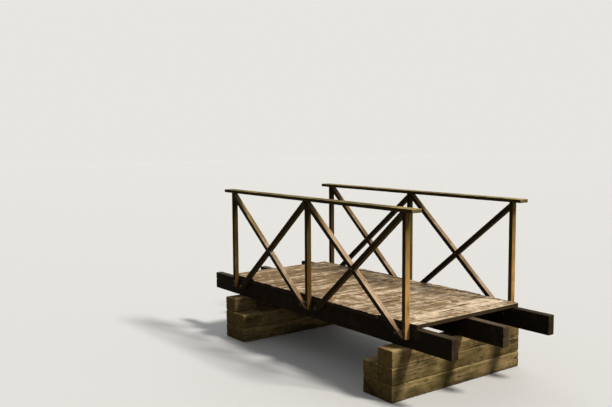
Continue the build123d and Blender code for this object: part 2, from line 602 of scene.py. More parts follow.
        # Painted shadow of the handrail on the upper posts; on the sills, darker towards the bottom.
        darker_by_height = r.between(height + (own_patch - 0.5) * s.dark_shift, *self.darkens, 1.0, self.darkest)
        shade = (dark + tone * lighter) * darker_by_height
        shade = shade * (1 + (streak - 0.5) * (s.streak_shade * self.contrast))
        shade = shade * (1 + (fibre - 0.5) * (s.fibre_shade * self.contrast))
        shade = shade * (1 - late * (s.ring_shade * self.contrast + cut * s.end_ring_shade))
        # Darker sawn ends: end grain, and on the deck and handrail also painted shade.
        shade = shade * (1 - cut * self.end_shade)

        # Soil in the patches that stay wet, the green film by height, stains below steel
        smudge = r.noise(place, p.smudges)
        soiled = r.between(smudge + (0.5 - own_patch) * s.soil_shift, *p.soiled) * self.dirt_amount
        wood = r.blend(soiled, wood, self.soil)
        film = r.fade(height + (smudge - 0.5) * s.film_shift, *self.moss_heights)
        # The green film stays mostly off the faces painted as shaded, so that they stay dark.
        film = film * (s.sheltered_film + open_and_lit * (1 - s.sheltered_film)) * (green * self.moss_amount)
        by_smudge, by_streak = s.film_noise
        film = film * r.between(smudge * by_smudge + streak * by_streak, *p.filmed)
        wood = r.blend(film, wood, self.moss)
        wood = r.shaded(wood, shade)
        least, by_fibre = s.stain_noise
        stained = r.between(stain * (least + fibre * by_fibre), *p.stained)
        wood = r.blend(stained * s.stain_share, wood, self.stain)
        # Painted shade in the cracks.
        wood = r.blend(splits, wood, self.hollow)

        heights = (fibre * s.fibre_height + streak * s.streak_height - late * s.ring_depth
                   - splits * s.split_depth - knot * s.knot_depth + smudge * s.smudge_height * (1 - cut))
        dull = s.dullness + fibre * s.fibre_dulls + soiled * s.soil_dulls - bleach_and_sunlight * s.bleach_shines
        return r.surface(Base_Color=wood, Roughness=r.maths("MINIMUM", dull, s.dullest),
                         Normal=r.relief(heights, self.relief), Specular_IOR_Level=s.mirrors)


@dataclass(frozen=True)
class RustedSteel:
    """Galvanised or bare steel gone brown, with scaly orange patches.

    Attributes:
        name: the material's name.
        steel: colour of the dull metal.
        rust: colour of the rust.
        patches: its patches.
        scales: the fine scales on them.
        shares: the shares of both in the noise that rust follows.
        rusty: the noise from which rust starts and at which it covers the metal.
        lightness: how light the darkest scale is, and how much lighter the lightest one is.
        roughness: roughness of the dull metal, and how much rust adds.
        metallic: how metallic that metal is, and how much less the rust.
        rust_height: how far rust stands out, where 1 is the scales' height.
        scale_height: the scales' height.
        relief: how strongly both show.
    """

    name: str
    steel: Colour = (0.060, 0.050, 0.043)
    rust: Colour = (0.085, 0.040, 0.020)
    patches: Clouds = Clouds((160.0, 160.0, 160.0), detail=3.0, rough=0.6)
    scales: Clouds = Clouds((1120.0, 1120.0, 1120.0), detail=3.0, rough=0.7)
    shares: Pair = (0.7, 0.3)
    rusty: Pair = (0.40, 0.58)
    lightness: Pair = (0.65, 0.7)
    roughness: Pair = (0.52, 0.34)
    metallic: Pair = (0.75, 0.7)
    rust_height: float = 0.8
    scale_height: float = 0.0004
    relief: float = 0.8

    @cache
    def build(self) -> bpy.types.Material:
        """Makes the material, once: two layers of noise choose between dull metal and rust.

        Returns:
            The material.
        """
        r = Recipe(bpy.data.materials.new(self.name))
        place = r.place()
        coarse, fine = r.noise(place, self.patches), r.noise(place, self.scales)
        rusty = r.between(coarse * self.shares[0] + fine * self.shares[1], *self.rusty)
        shade = self.lightness[0] + fine * self.lightness[1]
        heights = fine + rusty * self.rust_height
        return r.surface(Base_Color=r.shaded(r.blend(rusty, self.steel, self.rust), shade),
                         Roughness=self.roughness[0] + rusty * self.roughness[1],
                         Metallic=self.metallic[0] - rusty * self.metallic[1],
                         Normal=r.relief(heights, self.scale_height, self.relief))


# Each finish's colour for faces turned from the weather is partly painted shade, its underside colour is
# painted bounce light, and its most weathered colour is partly painted sun flecks.
# The beams' near-black colours are partly dark wood and partly painted shade under the deck.
BEAM = TimberFinish("beam_wood", "beam_timber", damp=(0.013, 0.009, 0.0045), bare=(0.070, 0.047, 0.025),
                    bleached=(0.15, 0.105, 0.060), dry=(0.060, 0.040, 0.022), moss_heights=(0.0, 0.72),
                    moss_amount=0.35, dirt_amount=0.5)
BRACE = TimberFinish("brace_wood", "brace_timber", damp=(0.018, 0.011, 0.005), bare=(0.270, 0.168, 0.078),
                     bleached=(0.61, 0.430, 0.280), dry=(0.085, 0.055, 0.018), moss=(0.27, 0.200, 0.050),
                     moss_heights=(2.2, 0.8), moss_amount=0.85, dirt_amount=0.20, patch_size=0.34,
                     patch_share=0.8)
# The deck's weather comes from straight above, so the sides and ends of its planks take the dark colour:
# painted shade.
DECK = TimberFinish("deck_wood", "deck_plank", damp=(0.055, 0.036, 0.018), bare=(0.315, 0.198, 0.090),
                    bleached=(0.95, 0.75, 0.53), dry=(0.130, 0.085, 0.044), moss_amount=0.0, dirt_amount=0.42,
                    fades_at=(0.46, 0.66), patch_size=0.11, patch_share=0.60, end_shade=0.55, contrast=0.85,
                    relief=0.0018, weather_from=(0.0, 0.0, 1.0), opens_at=(0.10, 0.75))
# The handrail's sawn ends are darker, partly as painted shade.
HANDRAIL = TimberFinish("handrail_wood", "handrail_timber", damp=(0.030, 0.020, 0.006),
                        bare=(0.200, 0.140, 0.046), bleached=(0.64, 0.465, 0.190), dry=(0.100, 0.065, 0.022),
                        moss=(0.235, 0.205, 0.045), moss_heights=(0.5, 3.2), moss_amount=0.65,
                        dirt_amount=0.25, patch_size=0.22, patch_share=0.75, end_shade=0.55)
# The posts grow darker towards the handrail: painted shadow of it.
POST = TimberFinish("post_wood", "post_timber", damp=(0.045, 0.028, 0.010), bare=(0.270, 0.135, 0.032),
                    bleached=(0.68, 0.375, 0.125), dry=(0.15, 0.09, 0.035), moss=(0.310, 0.245, 0.030),
                    moss_heights=(1.7, 0.5), moss_amount=0.70, dirt_amount=0.15, patch_size=0.34,
                    patch_share=0.7, darkens=(1.00, 1.78))
# The sills' colours are partly painted light: they were made lighter to make up for the deck's shade over
# them.
SILL = TimberFinish("sill_wood", "sill_timber", damp=(0.225, 0.145, 0.050), bare=(0.270, 0.175, 0.072),
                    bleached=(0.60, 0.420, 0.190), dry=(0.20, 0.13, 0.055), moss=(0.150, 0.145, 0.028),
                    moss_heights=(0.0, 0.62), moss_amount=0.80, dirt_amount=0.70, patch_size=0.26,
                    fades_at=(0.42, 0.60), darkens=(0.36, -0.14), darkest=0.40, contrast=0.8, relief=0.0030,
                    soil=(0.050, 0.036, 0.020))
STEEL = RustedSteel("rusted_steel")


# Surfaces


# Steps round each corner of a section
CORNER_STEPS = 3

# The rows at each end of a timber. The first three close it, and the others ease its edges: where they
# stand and how far they are drawn in, as shares of the easing, and their shares of the section
END_EASE = 0.003
END_PLACES = np.array([0.0, 0.0, 0.0, 0.0, 0.35, 1.0])
END_INSETS = np.array([1.0, 1.0, 1.0, 1.0, 0.4, 0.0])
END_SHARES = np.array([0.0, 0.45, 0.8, 1.0, 1.0, 1.0])
CLOSING_ROWS = 3

# Rows at the shoulders of a half lap: how far apart a pair stands, and how clear of it others stay
LAP_STEP = 0.0004
LAP_CLEAR = 0.004
LAP_KEEPS = 0.495  # of the thickness, so that two laps don't quite touch

# Unevenness: each layer's share and the spacing of its net, along the timber and round it
SINKS = ((0.65, 0.16, 0.05), (0.35, 0.045, 0.016))
CHIP_NET = (0.030, 0.020)
CHIPS_FROM, CHIPS_OVER = 0.80, 0.20
CHIP_DEPTH = 0.6  # of the arris
CORNER_NETS = (0.13, 0.035)
CORNER_SHARES = (0.55, 0.65, 0.35)

# The tread of feet: its reach as a share of the length, and how deep it is far from the middle
TREAD_REACH = 0.30
TREAD_LEAST = 0.35

# Drying cracks: places as shares of a face's half width, spans as shares of the length
CRACK_SPREAD = 0.55
CRACK_SPANS = (0.12, 0.34)
CRACK_VARIES = (0.6, 1.2)
CRACK_FROM_END = 0.05
CRACK_NET = 0.12  # spacing of the net that makes a crack wander
CRACK_WANDER = 0.45  # of the gap between columns
CRACK_TAPER = 0.3  # of its length, at each end
CRACK_GATHERS = 0.05  # the length over which its columns come together
CRACK_GAPES = (0.75, 0.5)  # as shares of its width: the least, and how much more as it wanders
CRACK_EDGE = 0.0003
SPLIT_SPANS = (0.07, 0.20)
SPLIT_SPREAD = 0.35
SPLIT_PAST_END = 0.02
SPLIT_WIDER = 1.2
SPLIT_DEEPER = 1.3
SPLIT_OPEN = 0.6  # the least that it gapes at the end

# How much more a saw takes off above and below an end's middle, for each metre
SAW_BOWS = 0.02

# How far a rust stain runs from the steel, along the grain and across it
STAIN_REACH = np.array([0.034, 0.011, 0.011])

# Where a timber's painted sunlight starts to lighten it towards its end, as a share of its length from the
# middle
SUNLIT_FROM = 0.3

# A timber's place in the tree that its grain is taken from
TREE_SPREAD = (50, 0.16, 0.16)
TREE_SHIFT = np.array([0.0, 0.0, 0.03])

# How many fibres across a brace its reach is measured on
FIBRES = 201

# Points nearer than this are one, and edges sharper than this stay sharp
MERGED = 0.00001
SHARP = math.radians(38)


def net_heights(rng: np.random.Generator, along: np.ndarray, around: np.ndarray, loop: float,
                gap: float, gap_around: float) -> np.ndarray:
    """Smooth random heights from 0 to 1 over a grid that closes on itself around a timber.

    Random values stand on a coarse net, and each point takes the mean of the four round it, each
    weighted by a smooth step of its nearness in both directions.

    Args:
        rng: the seeded source.
        along: distance of each row along the timber.
        around: distance of each column round the section.
        loop: distance all the way round the section.
        gap: net spacing along the timber.
        gap_around: net spacing round the section.

    Returns:
        One height for each row and column.
    """
    rows = int((along.max() - along.min()) / gap) + 3
    columns = max(3, round(loop / gap_around))
    net = rng.random((rows, columns))
    u = (along - along.min()) / gap
    v = around / loop * columns
    i, j = np.floor(u).astype(int), np.floor(v).astype(int) % columns
    fu, fv = u - np.floor(u), v - np.floor(v)
    fu, fv = (fu * fu * (3 - 2 * fu))[:, None], (fv * fv * (3 - 2 * fv))[None, :]
    j2 = (j + 1) % columns
    low = net[np.ix_(i, j)] * (1 - fv) + net[np.ix_(i, j2)] * fv
    high = net[np.ix_(i + 1, j)] * (1 - fv) + net[np.ix_(i + 1, j2)] * fv
    return low * (1 - fu) + high * fu


@dataclass(frozen=True)
class Section:
    """The points round a timber's section, as shares of its half sizes plus its corner radius.

    A point lies at (side * (half - radius) + out * radius) on both axes, so one table serves every
    row, whatever the radius is there.

    Attributes:
        side: the corner that each point belongs to, by its signs, or a place between two.
        out: the way out of the timber at each point.
        face: the number of its face, or -1 on a corner.
        corner: each corner's share in its radius.
    """

    side: np.ndarray
    out: np.ndarray
    face: np.ndarray
    corner: np.ndarray

    @classmethod
    def around(cls, on_flat: int, on_edge: int) -> "Section":
        """A section that runs from the first corner over the four faces.

        Args:
            on_flat: points on each broad face, up and down.
            on_edge: points on each of the other two faces.

        Returns:
            The section.
        """
        signs = np.array([(1, 1), (-1, 1), (-1, -1), (1, -1)], float)
        side, out, face, corner = [], [], [], []
        bend = CORNER_STEPS + 1
        for turn in range(4):
            after = (turn + 1) % 4
            start, stop = signs[turn], signs[after]
            angles = (turn + np.linspace(0, 1, bend)) * math.pi / 2
            side.append(np.repeat(start[None], bend, 0))
            out.append(np.stack([np.cos(angles), np.sin(angles)], 1))
            face.append(np.full(bend, -1))
            corner.append(np.eye(4)[np.full(bend, turn)])
            count = on_flat if turn % 2 == 0 else on_edge
            share = (np.arange(count) + 1)[:, None] / (count + 1)
            side.append(start * (1 - share) + stop * share)
            out.append(np.repeat([[math.cos(angles[-1]), math.sin(angles[-1])]], count, 0))
            face.append(np.full(count, turn))
            corner.append(np.eye(4)[turn] * (1 - share) + np.eye(4)[after] * share)
        return cls(*(np.concatenate(parts) for parts in (side, out, face, corner)))


@dataclass(frozen=True)
class Crack:
    """A drying crack along the grain.

    Attributes:
        face: the long face that it opens on.
        place: where it lies across the face, from -1 to 1.
        start: its start along the timber, from the middle.
        stop: its end.
        width: how wide it gapes.
        depth: how deep it is.
    """

    face: Face
    place: float
    start: float
    stop: float
    width: float
    depth: float


@dataclass(frozen=True)
class Wear:
    """How a kind of timber has worn, and how finely its surface follows that.

    Attributes:
        arris: radius of the worn long edges.
        rough: how far the faces sink in between high spots.
        step: distance between the surface's rows.
        gap: distance between its columns on a face.
        count: how many drying cracks lie away from the ends.
        depth: their usual depth.
        width: how wide they usually gape.
        faces: the faces that crack, in turn.
        split_ends: whether a crack starts at each end too.
    """

    arris: float
    rough: float
    step: float
    gap: float
    count: int
    depth: float
    width: float
    faces: tuple[Face, ...]
    split_ends: bool = True

    def cracks(self, rng: np.random.Generator, length: float) -> list[Crack]:
        """Scatters drying cracks over the faces, and starts one at each end that splits.

        Args:
            rng: the seeded source.
            length: the timber's length.

        Returns:
            The cracks.
        """
        found = []
        places = rng.permutation(np.linspace(-CRACK_SPREAD, CRACK_SPREAD, max(self.count, 2)))
        for number in range(self.count):
            span = length * rng.uniform(*CRACK_SPANS)
            start = rng.uniform(-length / 2 + CRACK_FROM_END, length / 2 - CRACK_FROM_END - span)
            found.append(Crack(self.faces[number % len(self.faces)], float(places[number]), start,
                               start + span, self.width * rng.uniform(*CRACK_VARIES),
                               self.depth * rng.uniform(*CRACK_VARIES)))
        for sign in (-1, 1) if self.split_ends else ():
            span = rng.uniform(*SPLIT_SPANS)
            bounds = sorted((sign * (length / 2 + SPLIT_PAST_END), sign * (length / 2 - span)))
            face = self.faces[int(rng.integers(len(self.faces)))]
            found.append(Crack(face, float(rng.uniform(-SPLIT_SPREAD, SPLIT_SPREAD)), *bounds,
                               self.width * SPLIT_WIDER, self.depth * SPLIT_DEEPER))
        return found


@dataclass(frozen=True)
class Lie:
    """How a timber lies.

    Attributes:
        middle: its middle.
        ways: the ways that its grain, its width and its thickness run.
    """

    middle: Point
    ways: Ways

    @classmethod
    def filling(cls, low: np.ndarray, high: np.ndarray, ways: Ways) -> tuple["Lie", Point]:
        """How a timber lies that fills a box, and its size along its own axes."""
        return cls(tuple((low + high) / 2), ways), tuple(np.abs(np.array(ways) @ (high - low)))

    def out(self, local: np.ndarray) -> np.ndarray:
        """Points of the timber's own axes, as points of the frame."""
        return np.asarray(self.middle) + local @ np.array(self.ways)

    def into(self, points: np.ndarray) -> np.ndarray:
        """Points of the frame, as points of the timber's own axes."""
        return (points - np.asarray(self.middle)) @ np.array(self.ways).T


def plain_end(y: np.ndarray, z: np.ndarray) -> np.ndarray:
    """A square end: nothing is cut off anywhere."""
    return np.zeros(np.broadcast(y, z).shape)


def skewed_end(slope: float, short: float, width: float) -> EndRule:
    """An end sawn a little out of square and a little short: what is off grows across the width.

    Args:
        slope: how far it is out of square, for each metre across.
        short: the least that is off.
        width: the timber's width.

    Returns:
        The rule for what is off at each point of the section.
    """
    def rule(y: np.ndarray, z: np.ndarray) -> np.ndarray:
        """What is off at a point of the section."""
        return short + np.abs(slope) * (width / 2) + slope * y + SAW_BOWS * np.abs(z)
    return rule


def sawn_ends(rng: np.random.Generator, skew: float, short: float, width: float) -> tuple[EndRule, EndRule]:
    """Both ends of a timber, sawn out of square by up to skew and short by up to short, by chance."""
    slopes, shorts = rng.uniform(-skew, skew, 2), rng.uniform(0.0, short, 2)
    return skewed_end(slopes[0], shorts[0], width), skewed_end(slopes[1], shorts[1], width)


@dataclass(frozen=True)
class Lap:
    """The notch of a half-lapped timber.

    Attributes:
        keeps: the half of the thickness that is left.
        middle: where the notch's middle is along the timber.
        length: how long the notch is.
        lean: how far its shoulders run along the timber for each metre across it.
    """

    keeps: Half
    middle: float
    length: float
    lean: float


@dataclass(frozen=True)
class Timber:
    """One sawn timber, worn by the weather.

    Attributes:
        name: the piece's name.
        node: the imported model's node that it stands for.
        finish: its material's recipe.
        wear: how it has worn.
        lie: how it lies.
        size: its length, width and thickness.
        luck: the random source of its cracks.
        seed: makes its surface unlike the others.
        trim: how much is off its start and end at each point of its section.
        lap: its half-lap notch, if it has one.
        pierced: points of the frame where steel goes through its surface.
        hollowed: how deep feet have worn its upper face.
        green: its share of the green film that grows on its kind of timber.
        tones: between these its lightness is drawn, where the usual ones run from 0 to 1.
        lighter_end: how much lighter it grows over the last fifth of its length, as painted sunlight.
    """

    name: str
    node: str
    finish: TimberFinish
    wear: Wear
    lie: Lie
    size: Point
    luck: np.random.Generator
    seed: int
    trim: tuple[EndRule, EndRule] = (plain_end, plain_end)
    lap: Lap | None = None
    pierced: tuple[Point, ...] = ()
    hollowed: float = 0.0
    green: float = 1.0
    tones: Pair = (0.0, 1.0)
    lighter_end: float = 0.0

    def build(self) -> bpy.types.Object:
        """Makes the piece, dresses it and sets it in the frame.

        The section is carried along the grain. Each row holds the whole section, and rows that
        shrink to one point close both ends. Every change of shape moves a point inwards, so the
        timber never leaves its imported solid.

        Returns:
            The piece's object.
        """
        rng = np.random.default_rng(self.seed)
        half = np.array(self.size[1:]) / 2
        section = Section.around(*(max(3, round(side / self.wear.gap)) for side in self.size[1:]))
        rows, inset, shrink = self._rows(self.size[0])
        radius = self._corner_wear(rng, rows) @ section.corner.T
        room = half[None, None, :] - inset[:, None, None] - radius[:, :, None]
        points = section.side[None] * room + section.out[None] * radius[:, :, None]

        sunk = self._sunk(rng, rows, section, half)
        crack = np.zeros(points.shape[:2])
        for one in self.wear.cracks(self.luck, self.size[0]):
            self._open(one, rng, rows, section, points, sunk, crack)
        points = points - section.out[None] * sunk[:, :, None]
        points = self._halve(points, rows, half) * shrink[:, None, None]
        local = np.concatenate([self._lengthwise(points, rows)[..., None], points], 2)

        edge = np.broadcast_to((section.face < 0).astype(float), crack.shape).copy()
        edge[(inset > 0) & (shrink == 1)] = 1.0
        edge[shrink < 1] = 0.0
        return self._dress(local, rows, crack, edge, rng)

    def _rows(self, length: float) -> tuple[np.ndarray, np.ndarray, np.ndarray]:
        """Where the rows stand along the timber, how far each is drawn in, and its share of the section.

        Args:
            length: the timber's length.

        Returns:
            Distances from the middle, insets that round the end edges, and shares that close the ends.
        """
        end, ease = length / 2, min(END_EASE, self.wear.arris)
        inner = np.linspace(-end + ease * 2, end - ease * 2, max(4, round(length / self.wear.step)))
        if self.lap:
            edge = self.lap.length / 2
            inner = inner[np.abs(np.abs(inner - self.lap.middle) - edge) > LAP_CLEAR]
            notch = np.array([edge, edge + LAP_STEP])
            inner = np.sort(np.concatenate([inner, self.lap.middle + notch, self.lap.middle - notch]))
        places, insets = END_PLACES * ease, END_INSETS * ease
        rows = np.concatenate([-end + places, inner, end - places[::-1]])
        inset = np.concatenate([insets, np.zeros(len(inner)), insets[::-1]])
        shrink = np.concatenate([END_SHARES, np.ones(len(inner)), END_SHARES[::-1]])
        return rows, inset, shrink

    def _corner_wear(self, rng: np.random.Generator, rows: np.ndarray) -> np.ndarray:
        """The radius of the four long edges at each row, a slow and a fast noise about the arris.

        Args:
            rng: the seeded source.
            rows: where the rows stand.

        Returns:
            Four radii for each row.
        """
        slow, fast = (net_heights(rng, rows, np.arange(4.0), 4.0, net, 1.0) for net in CORNER_NETS)
        least, by_slow, by_fast = CORNER_SHARES
        return self.wear.arris * (least + by_slow * slow + by_fast * fast)

    def _sunk(self, rng: np.random.Generator, rows: np.ndarray, section: Section,
              half: np.ndarray) -> np.ndarray:
        """How far each point has sunk: two layers of noise, chips off the edges, and the tread of feet.

        The tread is deepest along the middle of the upper face, by a fourth power across it and a
        bell curve along it.

        Args:
            rng: the seeded source.
            rows: where the rows stand.
            section: the section's points.
            half: half the timber's width and thickness.

        Returns:
            A depth for each row and column.
        """
        flat = section.side * half
        steps = np.linalg.norm(np.roll(flat, -1, 0) - flat, axis=1)
        around, loop = np.concatenate([[0], np.cumsum(steps)[:-1]]), steps.sum()
        slow, fast = (share * net_heights(rng, rows, around, loop, *net) for share, *net in SINKS)
        chips = net_heights(rng, rows, around, loop, *CHIP_NET)
        on_edge = (section.face < 0).astype(float)
        chipped = np.clip((chips - CHIPS_FROM) / CHIPS_OVER, 0, 1)
        sunk = self.wear.rough * (slow + fast) + CHIP_DEPTH * self.wear.arris * on_edge * chipped
        if self.hollowed:
            tread = (section.face == Face.UP.value) * (1 - np.abs(section.side[:, 0]) ** 4)
            path = np.exp(-((rows / (TREAD_REACH * self.size[0])) ** 2))[:, None]
            sunk = sunk + self.hollowed * tread * (TREAD_LEAST + (1 - TREAD_LEAST) * path)
        return sunk

    def _open(self, one: Crack, rng: np.random.Generator, rows: np.ndarray, section: Section,
              points: np.ndarray, sunk: np.ndarray, crack: np.ndarray) -> None:
        """Opens one crack: three columns gather on its line, and the middle one sinks.

        The line is the crack's place plus a slow wander. Near the crack its columns slide from their
        own places to the line by a smooth share, and its depth follows a rounded tent along it.

        Args:
            one: the crack.
            rng: the seeded source.
            rows: where the rows stand.
            section: the section's points.
            points: places across and up of every point, changed here.
            sunk: depth of every point, changed here.
            crack: how far down a crack every point is, changed here.
        """
        axis = 0 if one.face in (Face.UP, Face.DOWN) else 1
        columns = np.flatnonzero(section.face == one.face.value)
        wanted = one.place * self.size[1 + axis] / 2
        order = np.argmin(np.abs(points[len(rows) // 2, columns, axis] - wanted))
        middle = columns[min(max(order, 1), len(columns) - 2)]
        wander = net_heights(rng, rows, np.zeros(1), 1.0, CRACK_NET, 1.0)[:, 0] - 0.5
        line = points[:, middle, axis] + CRACK_WANDER * self.wear.gap * wander
        taper, end = CRACK_TAPER * (one.stop - one.start), self.size[0] / 2
        tent = np.clip(np.minimum(rows - one.start, one.stop - rows) / taper, 0, 1)
        if one.start < -end or one.stop > end:
            tent = np.where(np.abs(rows) > end - taper, np.maximum(tent, SPLIT_OPEN), tent)
        gape = np.sin(tent * math.pi / 2) * (CRACK_GAPES[0] + CRACK_GAPES[1] * np.abs(wander))
        slide = np.clip(1 - np.maximum(one.start - rows, rows - one.stop) / CRACK_GATHERS, 0, 1)
        for column, away in ((middle - 1, 1), (middle, 0), (middle + 1, -1)):
            sign = np.sign(points[0, middle - 1, axis] - points[0, middle, axis]) or 1.0
            target = line + away * sign * (CRACK_EDGE + one.width / 2 * gape)
            points[:, column, axis] += slide * (target - points[:, column, axis])
        sunk[:, middle] += one.depth * gape
        crack[:, middle] = np.maximum(crack[:, middle], np.clip(gape, 0, 1))

    def _halve(self, points: np.ndarray, rows: np.ndarray, half: np.ndarray) -> np.ndarray:
        """Squeezes the rows of a notch into the half of the thickness that the timber keeps.

        Args:
            points: places across and up of every point.
            rows: where the rows stand.
            half: half the timber's width and thickness.

        Returns:
            The points with the notch cut.
        """
        if not self.lap:
            return points
        inside = np.abs(rows - self.lap.middle) <= (self.lap.length + LAP_STEP) / 2
        kept = self.lap.keeps.value * half[1]
        halved = points.copy()
        halved[inside, :, 1] = kept + (points[inside, :, 1] - kept) * LAP_KEEPS
        return halved

    def _lengthwise(self, points: np.ndarray, rows: np.ndarray) -> np.ndarray:
        """How far along the timber every point lies.

        What is off an end is shared out along the timber: all of it at that end, and none from the
        notch on, or from the other end on where there is no notch. The shoulders' lean is shared
        out in the same way, from the notch to both ends.

        Args:
            points: places across and up of every point.
            rows: where the rows stand.

        Returns:
            The distances from the timber's middle.
        """
        end = self.size[0] / 2
        low, high = end, -end
        if self.lap:
            low, high = self.lap.middle - self.lap.length / 2, self.lap.middle + self.lap.length / 2
        start, stop = (rule(points[..., 0], points[..., 1]) for rule in self.trim)
        at_start = np.clip((low - rows) / (low + end), 0, 1)[:, None]
        at_stop = np.clip((rows - high) / (end - high), 0, 1)[:, None]
        x = rows[:, None] + start * at_start - stop * at_stop
        if self.lap:
            x = x + self.lap.lean * points[..., 0] * (1 - at_start - at_stop)
        return x

    def _dress(self, local: np.ndarray, rows: np.ndarray, crack: np.ndarray, edge: np.ndarray,
               rng: np.random.Generator) -> bpy.types.Object:
        """Puts the points into a mesh, with the attributes that its material reads.

        A stain is a bell curve of the distance from the steel. The lighter end, painted sunlight, is a
        straight ramp.

        Args:
            local: every point on the timber's own axes.
            rows: where the rows stand.
            crack: how far down a crack every point is.
            edge: 1 on the worn edges and 0 elsewhere.
            rng: the seeded source.

        Returns:
            The piece's object.
        """
        stain = np.zeros(crack.shape)
        for spot in self.pierced:
            away = (local - self.lie.into(np.array(spot))) / STAIN_REACH
            stain = np.maximum(stain, np.exp(-(away[..., 0] ** 2 + away[..., 1] ** 2 + away[..., 2] ** 2)))
        tree = rng.uniform([-reach for reach in TREE_SPREAD], TREE_SPREAD) + TREE_SHIFT
        into_end = np.clip((rows / self.size[0] - SUNLIT_FROM) / (0.5 - SUNLIT_FROM), 0, 1)[:, None]
        # The tone also carries the painted sunlight of the lighter end.
        tone = rng.uniform(*self.tones) + self.lighter_end * into_end + 0 * crack
        faces, is_end = tube_faces(*local.shape[:2])
        piece = make_piece(self.name, self.lie.out(local).reshape(-1, 3), faces, self.finish.build())
        put(piece.data, "grain", (local + tree).reshape(-1, 3))
        for name, values in (("crack", crack), ("edge", edge), ("stain", stain), ("tone", tone),
                             ("green", np.full(crack.shape, self.green))):
            put(piece.data, name, values.reshape(-1))
        put(piece.data, "cut", np.repeat(is_end.astype(float), 4), "CORNER")
        close_up(piece)
        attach(piece, ROOT)
        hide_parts(self.node)
        return piece


def tube_faces(rows: int, columns: int) -> tuple[np.ndarray, np.ndarray]:
    """Four-cornered faces between neighbouring rows of a closed section, facing outwards.

    Args:
        rows: how many rows there are.
        columns: how many points each row has.

    Returns:
        The faces' points, and whether each face belongs to one of the ends.
    """
    i, k = np.meshgrid(np.arange(rows - 1), np.arange(columns), indexing="ij")
    after = (k + 1) % columns
    here, beyond = i * columns, (i + 1) * columns
    faces = np.stack([here + k, here + after, beyond + after, beyond + k], 2)
    ends = (i < CLOSING_ROWS) | (i >= rows - 1 - CLOSING_ROWS)
    return faces.reshape(-1, 4), ends.reshape(-1)


def make_piece(name: str, points: np.ndarray, faces: np.ndarray,
               material: bpy.types.Material) -> bpy.types.Object:
    """Makes an object and links it to the scene.

    Args:
        name: its name.
        points: its points in the frame.
        faces: for each face the numbers of its points.
        material: what it is made of.

    Returns:
        The object.
    """
    mesh = bpy.data.meshes.new(name)
    mesh.from_pydata(points.tolist(), [], faces.tolist())
    mesh.materials.append(material)
    piece = bpy.data.objects.new(name, mesh)
    bpy.context.scene.collection.objects.link(piece)
    return piece


def put(mesh: bpy.types.Mesh, name: str, values: np.ndarray, domain: str = "POINT") -> None:
    """Stores an attribute.

    Args:
        mesh: the mesh.
        name: the attribute's name.
        values: a number or a vector for each point or corner.
        domain: POINT or CORNER.
    """
    vectors = values.ndim > 1
    layer = mesh.attributes.new(name, "FLOAT_VECTOR" if vectors else "FLOAT", domain)
    layer.data.foreach_set("vector" if vectors else "value", values.astype(np.float32).ravel())


def close_up(piece: bpy.types.Object) -> None:
    """Merges the points that the closed ends share, and shades flats smooth between sharp edges.

    Args:
        piece: the object whose mesh is changed.
    """
    work = bmesh.new()
    work.from_mesh(piece.data)
    bmesh.ops.remove_doubles(work, verts=work.verts, dist=MERGED)
    work.to_mesh(piece.data)
    work.free()
    piece.data.polygons.foreach_set("use_smooth", np.ones(len(piece.data.polygons), bool))
    piece.data.set_sharp_from_angle(angle=SHARP)


# Fastenings


# What the seed of a piece of fastenings counts for each letter of its name
SEED_STEP = 31

# A head's outline from the middle of its face: shares of its radius and of its height
HEAD_WIDTHS = np.array([0, 0.72, 1.0, 1.0, 0])
HEAD_HEIGHTS = np.array([1.0, 0.96, 0.35, -0.8, -0.8])

# A nut on its washer: widths as shares of the washer's, and heights above the timber
NUT_SHARE, BOLT_SHARE = 0.74, 0.40
NUT_TOP, NUT_BEVEL, NUT_FOOT = 0.0105, 0.0012, 0.0026
BOLT_BEVEL = 0.001
WASHER_TOP, WASHER_RIM, WASHER_SINK = 0.0024, 0.0018, 0.001
NUT_SIDES = 24


@dataclass(frozen=True)
class Turned:
    """A small steel shape: its outline from the middle of its face to the middle of its back.

    Attributes:
        radius: distance from the axis of each point of the outline.
        height: how far each point stands out of the timber.
        sides: how many points go round.
        flats: 1 where that part of the outline is a hexagon, 0 where it is round.
    """

    radius: np.ndarray
    height: np.ndarray
    sides: int
    flats: np.ndarray


@dataclass(frozen=True)
class Fastenings:
    """Copies of one steel shape, set into the timber as one piece.

    Attributes:
        name: the piece's name.
        shape: the steel shape.
        places: for each copy its place on the timber and the way it faces.
    """

    name: str
    shape: Turned
    places: list[Spot]

    def build(self) -> bpy.types.Object:
        """Makes the piece.

        Each copy is a surface of revolution: a point at angle a and step s lies at radius(s) in the
        direction a across the axis, and at height(s) along it. A six-sided step divides its radius
        by the cosine of the angle from the nearest flat's middle.

        Returns:
            The piece's object.
        """
        shape = self.shape
        rng = np.random.default_rng(len(self.name) * SEED_STEP + len(self.places))
        angle = np.arange(shape.sides) / shape.sides * 2 * math.pi
        from_flat = (angle + math.pi / 6) % (math.pi / 3) - math.pi / 6
        radius = shape.radius[:, None] * np.where(shape.flats[:, None] > 0, 1 / np.cos(from_flat)[None], 1.0)
        tube, _ = tube_faces(len(shape.radius), shape.sides)
        points, faces = [], []
        for place, facing in self.places:
            out, first = np.array(facing, float), np.array([1.0, 0.0, 0.0])
            turned = angle + rng.uniform(0, math.pi)
            ring = np.cos(turned)[:, None] * first + np.sin(turned)[:, None] * np.cross(out, first)
            copy = np.array(place) + radius[..., None] * ring[None] + shape.height[:, None, None] * out
            faces.append(tube[:, ::-1] + sum(len(p) for p in points))
            points.append(copy.reshape(-1, 3))
        piece = make_piece(self.name, np.concatenate(points), np.concatenate(faces), STEEL.build())
        close_up(piece)
        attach(piece, ROOT)
        return piece


